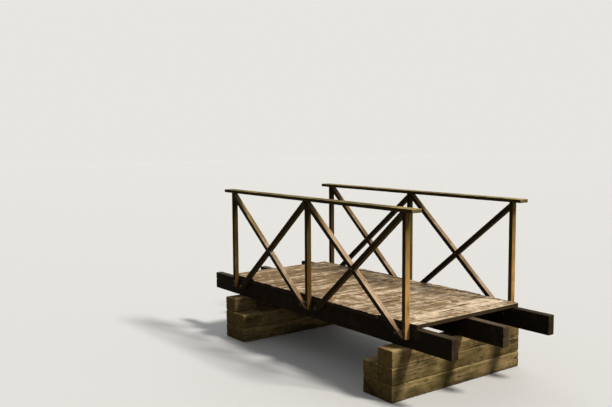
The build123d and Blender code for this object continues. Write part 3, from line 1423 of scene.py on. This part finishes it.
def nail_head(radius: float, height: float, sides: int) -> Turned:
    """A flat nail or screw head with a softened rim."""
    return Turned(radius * HEAD_WIDTHS, height * HEAD_HEIGHTS, sides, np.zeros(len(HEAD_WIDTHS)))


def coach_head(radius: float, rise: float = 0.52, sink: float = 0.10, rim: float = 0.12, steps: int = 6,
               sides: int = 20) -> Turned:
    """The low dome of a coach bolt, a part of an ellipse.

    Args:
        radius: half the head's width.
        rise: how high the whole ellipse would stand, as a share of that.
        sink: how deep its back lies in the timber, as a share of that.
        rim: the ellipse's angle at which the dome ends, just above the timber.
        steps: points on the dome's outline.
        sides: how many points go round.

    Returns:
        The shape.
    """
    angles = np.linspace(math.pi / 2, rim, steps)
    outline = np.concatenate([np.cos(angles), [1.0, 0.0]]) * radius
    heights = np.concatenate([np.sin(angles) * rise, [-sink, -sink]]) * radius
    outline[0] = 0.0
    return Turned(outline, heights, sides, np.zeros(len(outline)))


def washer_and_nut(radius: float, stub: float = 0.006) -> Turned:
    """A round washer under a six-sided nut, with the end of its bolt if stub is over 0.

    Args:
        radius: half the washer's width.
        stub: how far the bolt stands out of the nut.

    Returns:
        The shape.
    """
    nut, bolt, end = radius * NUT_SHARE, radius * BOLT_SHARE, NUT_TOP + stub
    tip = [(0.0, end, 0), (bolt * 0.8, end, 0), (bolt, end - BOLT_BEVEL, 0), (bolt, NUT_TOP, 0)]
    if not stub:
        tip = [(0.0, NUT_TOP, 0), (nut * 0.7, NUT_TOP, 0)]
    body = [(nut * 0.86, NUT_TOP, 0), (nut, NUT_TOP - NUT_BEVEL, 1), (nut, NUT_FOOT, 1),
            (radius * 0.97, WASHER_TOP, 0), (radius, WASHER_RIM, 0), (radius, -WASHER_SINK, 0),
            (0.0, -WASHER_SINK, 0)]
    outline = np.array(tip + body)
    return Turned(outline[:, 0], outline[:, 1], NUT_SIDES, outline[:, 2])


# Sub-assemblies


def box_of(node: str) -> tuple[np.ndarray, np.ndarray]:
    """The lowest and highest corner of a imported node."""
    low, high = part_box(node)
    return np.array(low), np.array(high)


def middle_of(node: str) -> np.ndarray:
    """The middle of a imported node's box."""
    return sum(box_of(node)) / 2


def luck(kind: str, number: int) -> tuple[np.random.Generator, int]:
    """The random source of one timber's cracks, and the seed of its surface."""
    for_cracks, for_surface = SEEDS[kind]
    return np.random.default_rng(for_cracks + number), for_surface + number


class Assembly(ABC):
    """Timbers, and the steel that holds them, which are built in one go."""

    @abstractmethod
    def parts(self) -> Iterator[Timber | Fastenings]:
        """The parts, each worked out when the one before it has been built."""

    def build(self) -> list[bpy.types.Object]:
        """Builds the parts in their order."""
        return [part.build() for part in self.parts()]


@dataclass
class Bearers(Assembly):
    """The three long beams, rough-sawn and dark, partly as painted shade.

    Attributes:
        wear: how they have worn.
    """

    wear: Wear = Wear(arris=0.005, rough=0.002, step=0.020, gap=0.016, count=5, depth=0.010, width=0.003,
                      faces=(Face.LEFT, Face.RIGHT))

    def parts(self) -> Iterator[Timber | Fastenings]:
        """The beams, from the near one to the far one.

        Returns:
            Each beam.
        """
        for number, node in enumerate(BEAMS):
            yield Timber(f"{node}_timber", node, BEAM, self.wear,
                         *Lie.filling(*box_of(node), ALONG_BRIDGE), *luck("beam", number))


@dataclass
class Deck(Assembly):
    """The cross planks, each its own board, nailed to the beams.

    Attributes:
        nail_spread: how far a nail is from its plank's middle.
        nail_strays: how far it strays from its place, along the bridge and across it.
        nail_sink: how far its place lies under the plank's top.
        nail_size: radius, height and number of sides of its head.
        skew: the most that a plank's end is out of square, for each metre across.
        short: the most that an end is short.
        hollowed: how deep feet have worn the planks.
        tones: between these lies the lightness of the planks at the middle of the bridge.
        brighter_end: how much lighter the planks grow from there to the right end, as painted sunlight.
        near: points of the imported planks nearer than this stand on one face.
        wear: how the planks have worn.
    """

    nail_spread: float = 0.036
    nail_strays: Pair = (0.006, 0.016)
    nail_sink: float = 0.0004
    nail_size: tuple[float, float, int] = (0.0048, 0.0011, 10)
    skew: float = 0.012
    short: float = 0.003
    hollowed: float = 0.0030
    tones: Pair = (0.3, 0.8)
    brighter_end: float = 0.35
    near: float = 0.0005
    wear: Wear = Wear(arris=0.0035, rough=0.0016, step=0.018, gap=0.011, count=4, depth=0.007, width=0.0028,
                      faces=(Face.UP, Face.UP, Face.DOWN))

    def plank_boxes(self) -> list[tuple[str, np.ndarray, np.ndarray]]:
        """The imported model's planks, from left to right.

        Returns:
            For each plank its node's name and its lowest and highest corner.
        """
        found = []
        for node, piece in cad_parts.items():
            if not node.startswith("deck_planks"):
                continue
            co = np.zeros(len(piece.data.vertices) * 3, np.float32)
            piece.data.vertices.foreach_get("co", co)
            co = co.reshape(-1, 3).astype(float)
            order = np.sort(np.unique(co[:, 0].round(4)))
            for start, stop in zip(order[::2], order[1::2]):
                mine = co[(co[:, 0] > start - self.near) & (co[:, 0] < stop + self.near)]
                found.append((node, mine.min(0), mine.max(0)))
        return sorted(found, key=lambda plank: plank[1][0])

    def parts(self) -> Iterator[Timber | Fastenings]:
        """The planks from left to right, and the nails that hold them to the beams.

        Returns:
            Each plank, and then all nails.
        """
        rng = np.random.default_rng(DECK_SEED)
        beam_rows = [middle_of(node)[1] for node in BEAMS]
        stray_x, stray_y = self.nail_strays
        planks, nails = self.plank_boxes(), []
        for number, (node, low, high) in enumerate(planks):
            lie, size = Lie.filling(low, high, ACROSS_BRIDGE)
            x, top = lie.middle[0], high[2] - self.nail_sink
            spots = [(x + sign * self.nail_spread + rng.uniform(-stray_x, stray_x),
                      row + rng.uniform(-stray_y, stray_y), top) for row in beam_rows for sign in (-1, 1)]
            nails += [(spot, UP) for spot in spots]
            ends = sawn_ends(rng, self.skew, self.short, size[1])
            # Painted sunlight: the planks grow lighter towards the right end.
            lighter = self.brighter_end * x / planks[-1][2][0]
            yield Timber(f"deck_plank_{number + 1:02d}", node, DECK, self.wear, lie, size, rng,
                         PLANK_SEED + number, trim=ends, pierced=tuple(spots), hollowed=self.hollowed,
                         tones=tuple(tone + lighter for tone in self.tones))
        yield Fastenings("deck_nails", nail_head(*self.nail_size), nails)


@dataclass
class Railing(Assembly):
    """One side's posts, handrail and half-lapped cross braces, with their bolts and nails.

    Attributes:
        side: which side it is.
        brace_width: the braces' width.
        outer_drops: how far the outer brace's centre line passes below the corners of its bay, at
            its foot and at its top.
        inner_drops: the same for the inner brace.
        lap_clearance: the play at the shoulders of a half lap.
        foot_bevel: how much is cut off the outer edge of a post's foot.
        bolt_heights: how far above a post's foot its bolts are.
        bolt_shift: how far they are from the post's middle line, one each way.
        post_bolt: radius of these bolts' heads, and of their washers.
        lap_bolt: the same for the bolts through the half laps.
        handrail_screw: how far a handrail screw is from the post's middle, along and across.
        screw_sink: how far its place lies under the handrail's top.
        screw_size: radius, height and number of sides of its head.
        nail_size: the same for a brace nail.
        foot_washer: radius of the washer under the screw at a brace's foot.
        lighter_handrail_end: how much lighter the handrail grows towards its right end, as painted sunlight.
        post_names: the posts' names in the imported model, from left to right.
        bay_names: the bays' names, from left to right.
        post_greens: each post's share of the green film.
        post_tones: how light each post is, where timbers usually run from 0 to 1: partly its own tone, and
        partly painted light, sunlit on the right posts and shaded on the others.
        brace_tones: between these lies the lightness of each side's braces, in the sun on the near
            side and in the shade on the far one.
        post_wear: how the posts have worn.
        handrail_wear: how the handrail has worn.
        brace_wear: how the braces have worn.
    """

    side: Side
    brace_width: float = 0.050
    outer_drops: Pair = (0.074, 0.008)
    inner_drops: Pair = (0.022, 0.046)
    lap_clearance: float = 0.0003
    foot_bevel: float = 0.012
    bolt_heights: Pair = (0.034, 0.088)
    bolt_shift: float = 0.007
    post_bolt: Pair = (0.0115, 0.0135)
    lap_bolt: Pair = (0.010, 0.012)
    handrail_screw: Pair = (0.011, 0.014)
    screw_sink: float = 0.0012
    screw_size: tuple[float, float, int] = (0.0055, 0.0009, 14)
    nail_size: tuple[float, float, int] = (0.0042, 0.0010, 12)
    foot_washer: float = 0.0125
    lighter_handrail_end: float = 0.9
    post_names: tuple[str, ...] = ("left", "middle", "right")
    bay_names: tuple[str, ...] = ("left", "right")
    post_greens: tuple[float, ...] = (0.5, 2.0, 0.5)
    post_tones: tuple[float, ...] = (-0.8, -0.5, 1.3)
    brace_tones: tuple[Pair, Pair] = ((0.6, 1.0), (0.0, 0.4))
    post_wear: Wear = Wear(arris=0.0020, rough=0.0008, step=0.014, gap=0.009, count=4, depth=0.008,
                           width=0.0026, faces=(Face.RIGHT, Face.DOWN, Face.UP, Face.LEFT))
    handrail_wear: Wear = Wear(arris=0.0045, rough=0.0010, step=0.014, gap=0.010, count=8, depth=0.009,
                               width=0.003, faces=(Face.UP, Face.UP, Face.RIGHT, Face.LEFT, Face.DOWN))
    brace_wear: Wear = Wear(arris=0.0015, rough=0.0006, step=0.014, gap=0.0092, count=3, depth=0.007,
                            width=0.0024, faces=(Face.RIGHT, Face.DOWN, Face.LEFT), split_ends=False)

    def parts(self) -> Iterator[Timber | Fastenings]:
        """The posts, the handrail and the braces, with their fastenings."""
        return chain(self._posts(), self._handrail(), self._braces())

    def _posts(self) -> Iterator[Timber | Fastenings]:
        """Posts with a bevelled foot, bolted through the side beam.

        Returns:
            Each post, and then the bolts' heads and nuts.
        """
        heads, nuts = [], []
        word, value = self.side.word, self.side.value
        inner = self.side.faces(*box_of(f"beam_{word}"))[1]
        for number, name in enumerate(self.post_names):
            node = f"post_{word}_{name}"
            low, high = box_of(node)
            lie, size = Lie.filling(low, high, UPRIGHT)
            outer = self.side.faces(low, high)[0]
            for way, height in zip((-1, 1), self.bolt_heights):
                x, z = lie.middle[0] + way * self.bolt_shift, low[2] + height
                heads.append(((x, outer, z), self.side.outward))
                nuts.append(((x, inner, z), self.side.inward))
            # Each post's lightness is partly painted light: the right posts sunlit, the others shaded.
            yield Timber(f"{node}_timber", node, POST, self.post_wear, lie, size,
                         *luck("post", 10 * number + value), green=self.post_greens[number],
                         trim=(self._bevelled_foot(size[2]), plain_end),
                         pierced=tuple(spot for spot, _ in heads), tones=(self.post_tones[number],) * 2)
        yield Fastenings(f"post_bolt_heads_{word}", coach_head(self.post_bolt[0]), heads)
        yield Fastenings(f"post_bolt_nuts_{word}", washer_and_nut(self.post_bolt[1]), nuts)

    def _bevelled_foot(self, depth: float) -> EndRule:
        """The rule for a foot whose outer edge is cut off at 45 degrees.

        Args:
            depth: the post's size across the bridge.

        Returns:
            What is off at each point of the section.
        """
        def rule(y: np.ndarray, z: np.ndarray) -> np.ndarray:
            """What is off at a point of the section, from the outer face inwards."""
            from_outer = depth / 2 - z * self.side.value
            return np.clip(self.foot_bevel - from_outer, 0, None) + 0 * y
        return rule

    def _handrail(self) -> Iterator[Timber | Fastenings]:
        """The flat board on the post tops, with two screws a post.

        Returns:
            The board, and then its screws.
        """
        node = f"handrail_{self.side.word}"
        low, high = box_of(node)
        along, across = self.handrail_screw
        screws = []
        for name in self.post_names:
            x, y, _ = middle_of(f"post_{self.side.word}_{name}")
            screws += [(x + sign * along, y + sign * across, high[2] - self.screw_sink) for sign in (-1, 1)]
        yield Timber(f"{node}_board", node, HANDRAIL, self.handrail_wear,
                     *Lie.filling(low, high, ALONG_BRIDGE), *luck("handrail", self.side.value),
                     pierced=tuple(screws), lighter_end=self.lighter_handrail_end)
        yield Fastenings(f"handrail_screws_{self.side.word}", nail_head(*self.screw_size),
                         [(spot, UP) for spot in screws])

    def _braces(self) -> Iterator[Timber | Fastenings]:
        """Two braces in each bay, halved where they cross and cut to fit between the posts.

        Returns:
            Each brace, and then their bolts' heads and nuts, their nails and their screws.
        """
        heads, nuts, nails, screws = [], [], [], []
        word, value, out = self.side.word, self.side.value, self.side.outward
        for number, bay in enumerate(self.bay_names):
            left, right = (box_of(f"post_{word}_{self.post_names[number + k]}") for k in (0, 1))
            opening = Opening((left[1][0], right[0][0]), (left[0][2], left[1][2]))
            outer = BraceLine(-value, self.outer_drops, opening)
            inner = BraceLine(value, self.inner_drops, opening)
            crossing = outer.crossing(inner)
            low, high = box_of(f"brace_{word}_{bay}_rising")
            front, back = self.side.faces(low, high)
            heads.append(((crossing[0], front, crossing[1]), out))
            nuts.append(((crossing[0], back, crossing[1]), self.side.inward))
            for line, other in ((outer, inner), (inner, outer)):
                fixed_at = [line.point_from(crossing, away) for away in line.fixings(crossing)]
                spots = [(x, front, z) for x, z in fixed_at]
                screws.append((spots[0], out))
                nails += [(spot, out) for spot in spots[1:]]
                yield self._brace(number, bay, line, other, (low[1], high[1]), (*spots, heads[-1][0]))
        yield Fastenings(f"lap_bolt_heads_{word}", coach_head(self.lap_bolt[0]), heads)
        yield Fastenings(f"lap_bolt_nuts_{word}", washer_and_nut(self.lap_bolt[1]), nuts)
        yield Fastenings(f"brace_nails_{word}", nail_head(*self.nail_size), nails)
        yield Fastenings(f"brace_screws_{word}", washer_and_nut(self.foot_washer, stub=0.0), screws)

    def _brace(self, number: int, bay: str, line: "BraceLine", other: "BraceLine", depth: Pair,
               pierced: tuple[Point, ...]) -> Timber:
        """One brace.

        Args:
            number: the bay's number.
            bay: the bay's name.
            line: the brace's centre line.
            other: the centre line of the brace that it crosses.
            depth: the y of its two broad faces.
            pierced: where steel goes through it.

        Returns:
            The brace.
        """
        crossing = line.crossing(other)
        down, up = (line.reach(crossing, way, self.brace_width) for way in (-1, 1))
        x, z = line.point_from(crossing, (up - down) / 2)
        turn = line.climb * (line.slope + other.slope)
        notch = (self.brace_width + 2 * self.lap_clearance) / abs(math.sin(turn))
        keeps = Half(self.side.value if line.climb == -self.side.value else -self.side.value)
        node = f"brace_{self.side.word}_{bay}_{'rising' if line.climb > 0 else 'falling'}"
        lie = Lie((x, sum(depth) / 2, z), (line.along, line.across, (0, 1, 0)))
        return Timber(
            f"{node}_timber", node, BRACE, self.brace_wear, lie,
            (down + up, self.brace_width, depth[1] - depth[0]),
            *luck("brace", 20 * number + 4 * line.climb + self.side.value),
            trim=(line.end(crossing, -1, down), line.end(crossing, 1, up)),
            lap=Lap(keeps, (down - up) / 2, notch, 1 / math.tan(turn)), pierced=pierced,
            tones=self.brace_tones[0 if self.side is Side.NEAR else 1])


@dataclass(frozen=True)
class Opening:
    """The clear space of a bay, between two posts and from their feet to the handrail.

    Attributes:
        x: where it starts and ends along the bridge.
        z: its lowest and highest level.
    """

    x: Pair
    z: Pair


@dataclass(frozen=True)
class BraceLine:
    """The centre line of a brace, which passes a little below two opposite corners of its bay.

    Points are x and z, and lengths along the line run from its foot to its top.

    Attributes:
        climb: 1 where it climbs towards +X, -1 where it climbs the other way.
        drops: how far below the corners it passes, at its foot and at its top.
        opening: the bay's clear space.
        foot_screw: how far the foot's screw is from the end of the line.
        top_nails: how far the two nails are from the other end.
    """

    climb: int
    drops: Pair
    opening: Opening
    foot_screw: float = 0.075
    top_nails: Pair = (0.026, 0.050)

    @property
    def slope(self) -> float:
        """The angle between the line and the deck."""
        rise = self.opening.z[1] - self.drops[1] - self.opening.z[0] + self.drops[0]
        return math.atan2(rise, self.opening.x[1] - self.opening.x[0])

    @property
    def foot(self) -> Pair:
        """Where the line meets the post that the brace starts from."""
        return self.opening.x[0 if self.climb > 0 else 1], self.opening.z[0] - self.drops[0]

    @property
    def along(self) -> Point:
        """The way up the line."""
        return self.climb * math.cos(self.slope), 0.0, math.sin(self.slope)

    @property
    def across(self) -> Point:
        """The way across the brace, so that this, the line and +Y make right-handed axes."""
        return math.sin(self.slope), 0.0, -self.climb * math.cos(self.slope)

    def crossing(self, other: "BraceLine") -> Pair:
        """Where the line crosses one that climbs the other way: both heights there are the same.

        Args:
            other: the line that it crosses.

        Returns:
            The point.
        """
        (x1, z1), (x2, z2) = self.foot, other.foot
        steep, steep2 = self.climb * math.tan(self.slope), other.climb * math.tan(other.slope)
        x = (z2 - z1 + steep * x1 - steep2 * x2) / (steep - steep2)
        return x, z1 + steep * (x - x1)

    def point_from(self, start: Pair, length: float) -> Pair:
        """The point that lies a length up the line from a start on it."""
        return start[0] + length * self.along[0], start[1] + length * self.along[2]

    def _limit(self, start: Pair, way: int, y: np.ndarray) -> np.ndarray:
        """How far a fibre at y across the brace runs from a start before a post or a level stops it.

        Args:
            start: the point on the line that lengths are counted from.
            way: 1 up the line, -1 down it.
            y: the fibre's place across the brace.

        Returns:
            The length, the smaller of the two.
        """
        wall = self.opening.x[1 if self.climb * way > 0 else 0]
        level = self.opening.z[1 if way > 0 else 0]
        to_wall = (wall - start[0] - y * self.across[0]) / (way * self.along[0])
        to_level = (level - start[1] - y * self.across[2]) / (way * self.along[2])
        return np.minimum(to_wall, to_level)

    def reach(self, start: Pair, way: int, width: float) -> float:
        """How far the longest fibre of a brace of that width runs from a start."""
        return float(self._limit(start, way, np.linspace(-width / 2, width / 2, FIBRES)).max())

    def end(self, start: Pair, way: int, reach: float) -> EndRule:
        """The rule for an end cut to a post's face and to the level above or below it.

        Args:
            start: the point on the line that lengths are counted from.
            way: 1 for the end up the line, -1 for its foot.
            reach: how far the longest fibre runs.

        Returns:
            What is off at each point of the section.
        """
        def rule(y: np.ndarray, z: np.ndarray) -> np.ndarray:
            """What is off at a point of the section."""
            return reach - self._limit(start, way, y) + 0 * z
        return rule

    def fixings(self, start: Pair) -> Point:
        """How far up the line from a start its foot screw and its two top nails are."""
        foot, top = (float(self._limit(start, way, np.zeros(1))[0]) for way in (-1, 1))
        return self.foot_screw - foot, top - self.top_nails[0], top - self.top_nails[1]


@dataclass
class Abutment(Assembly):
    """The stacked sills at one end of the bridge, heavy and split.

    Attributes:
        end: left or right.
        courses: the sills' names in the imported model, from the ground up.
        skew: the most that a sill's end is out of square, for each metre across.
        short: the most that an end is short.
        wear: how the sills have worn.
    """

    end: str
    courses: tuple[str, ...] = ("base_bank", "base_stream", "middle_bank", "middle_stream", "top")
    skew: float = 0.03
    short: float = 0.006
    wear: Wear = Wear(arris=0.010, rough=0.004, step=0.018, gap=0.015, count=6, depth=0.014, width=0.005,
                      faces=(Face.LEFT, Face.RIGHT, Face.UP))

    def parts(self) -> Iterator[Timber | Fastenings]:
        """The sills, from the ground up.

        Returns:
            Each sill.
        """
        for number, course in enumerate(self.courses):
            node = f"sill_{self.end}_{course}"
            lie, size = Lie.filling(*box_of(node), ACROSS_BRIDGE)
            rng, seed = luck("sill", 10 * number + len(self.end))
            ends = sawn_ends(rng, self.skew, self.short, size[1])
            yield Timber(f"{node}_timber", node, SILL, self.wear, lie, size, rng, seed, trim=ends)


# Stage


@dataclass
class Studio:
    """The floor, the light and the camera.

    Attributes:
        lens: the camera's focal length for a 36 mm wide picture.
        place: the camera's place.
        heading: its direction in plan, in radians from +Y towards +X.
        dip: how far it looks down, in radians.
        lean: how far it leans to its side, in radians.
        sees: how far it sees.
        key_from: where the main light comes from.
        key_strength: how strong it is.
        key_spread: its width in degrees, which softens the shadows.
        key_colour: its colour.
        fill_from: where the weak second light comes from.
        fill_strength: how strong it is.
        fill_spread: its width in degrees.
        fill_colour: its colour.
        sky: strength of the even light from all round.
        sky_colour: the colour of that light.
        floor_colour: the floor, as the camera sees it.
        floor_shade: how light its darker clouds are.
        floor_clouds: how coarse they are.
        floor_cloudy: how far they cover it.
        floor_rough: its roughness.
        floor_reach: how far it runs each way.
        floor_level: its height, just under the sills.
        bounce: the floor, as it throws light back on the bridge.
        backdrop: what is seen beyond the floor.
    """

    lens: float = 43.969
    place: Point = (6.5840, -5.6934, 2.5573)
    heading: float = -0.9323
    dip: float = 0.0929
    lean: float = -0.0070
    sees: float = 200.0
    key_from: Point = (0.60, 0.28, 0.75)
    key_strength: float = 2.9
    key_spread: float = 11.0
    key_colour: Colour = (1.0, 0.965, 0.91)
    fill_from: Point = (-0.75, 0.45, 0.45)
    fill_strength: float = 0.7
    fill_spread: float = 60.0
    fill_colour: Colour = (0.95, 0.97, 1.0)
    sky: float = 0.26
    sky_colour: Colour = (0.93, 0.97, 1.0)
    floor_colour: Colour = (0.74, 0.73, 0.71)
    floor_shade: float = 0.97
    floor_clouds: Clouds = Clouds((0.5, 0.5, 0.5), detail=3.0)
    floor_cloudy: float = 0.5
    floor_rough: float = 0.9
    floor_reach: float = 60.0
    floor_level: float = -0.0006
    bounce: Colour = (0.20, 0.18, 0.15)
    backdrop: Colour = (0.806, 0.789, 0.752)

    def build(self) -> None:
        """Sets up the whole studio."""
        self._floor()
        self._lights()
        self._camera()
        bpy.context.scene.view_settings.view_transform = "Standard"

    def _floor(self) -> None:
        """A wide pale floor, a little cloudy."""
        corners = np.array([(x * self.floor_reach, y * self.floor_reach, self.floor_level)
                            for x, y in ((-1, -1), (1, -1), (1, 1), (-1, 1))])
        r = Recipe(bpy.data.materials.new("pale_floor"))
        cloud = r.noise(r.place(), self.floor_clouds)
        darker = tuple(self.floor_shade * part for part in self.floor_colour)
        colour = r.blend(cloud * self.floor_cloudy, self.floor_colour, darker)
        colour = r.blend(r.seen(), self.bounce, colour)
        floor = make_piece("floor", corners, np.array([[0, 1, 2, 3]]),
                           r.surface(Base_Color=colour, Roughness=self.floor_rough))

    def _lights(self) -> None:
        """A key light, a weak fill from the other side and an even sky."""
        self._lamp("key", self.key_from, self.key_strength, self.key_spread, self.key_colour)
        self._lamp("fill", self.fill_from, self.fill_strength, self.fill_spread, self.fill_colour)
        world = bpy.data.worlds.new("studio")
        r = Recipe(world)
        light = r.node("Background", inputs={"Color": self.sky_colour, "Strength": self.sky})
        shown = r.node("Background", inputs={"Color": self.backdrop, "Strength": 1.0})
        chosen = r.node("MixShader", inputs={0: r.seen(), 1: r.wire(light), 2: r.wire(shown)})
        r.node("OutputWorld", inputs={"Surface": r.wire(chosen)})
        bpy.context.scene.world = world

    def _lamp(self, name: str, source: Point, strength: float, spread: float, colour: Colour) -> None:
        """A distant lamp.

        Args:
            name: its name.
            source: where it shines from.
            strength: how strong it is.
            spread: its width in degrees.
            colour: its colour.
        """
        lamp = bpy.data.lights.new(name, "SUN")
        lamp.energy, lamp.angle, lamp.color = strength, math.radians(spread), colour
        holder = bpy.data.objects.new(name, lamp)
        holder.rotation_mode = "QUATERNION"
        holder.rotation_quaternion = (-Vector(source)).to_track_quat("-Z", "Y")
        bpy.context.scene.collection.objects.link(holder)

    def _camera(self) -> None:
        """The camera, turned by its heading, dip and lean."""
        forward = Vector((math.cos(self.dip) * math.sin(self.heading),
                          math.cos(self.dip) * math.cos(self.heading), -math.sin(self.dip)))
        level = Vector((math.cos(self.heading), -math.sin(self.heading), 0.0))
        above = level.cross(forward)
        right = math.cos(self.lean) * level + math.sin(self.lean) * above
        up = -math.sin(self.lean) * level + math.cos(self.lean) * above
        data = bpy.data.cameras.new("camera")
        data.lens, data.sensor_width, data.sensor_fit = self.lens, 36.0, "HORIZONTAL"
        data.clip_end = self.sees
        camera = bpy.data.objects.new("camera", data)
        turn = Matrix((right, up, -forward)).transposed()
        camera.matrix_world = Matrix.Translation(self.place) @ turn.to_4x4()
        bpy.context.scene.collection.objects.link(camera)
        bpy.context.scene.camera = camera


def main() -> None:
    """Builds the bridge's looks, sub-assembly by sub-assembly, reports its pieces, then the studio."""
    logging.basicConfig(level=logging.INFO, format="%(name)s: %(message)s", stream=sys.stdout)
    assemblies = (Bearers(), Deck(), *(Railing(side) for side in Side), Abutment("left"), Abutment("right"))
    for assembly in assemblies:
        for piece in assembly.build():
            log.info("%s: %s, %d faces", type(assembly).__name__, piece.name, len(piece.data.polygons))
    Studio().build()


if __name__ == "__main__":
    main()
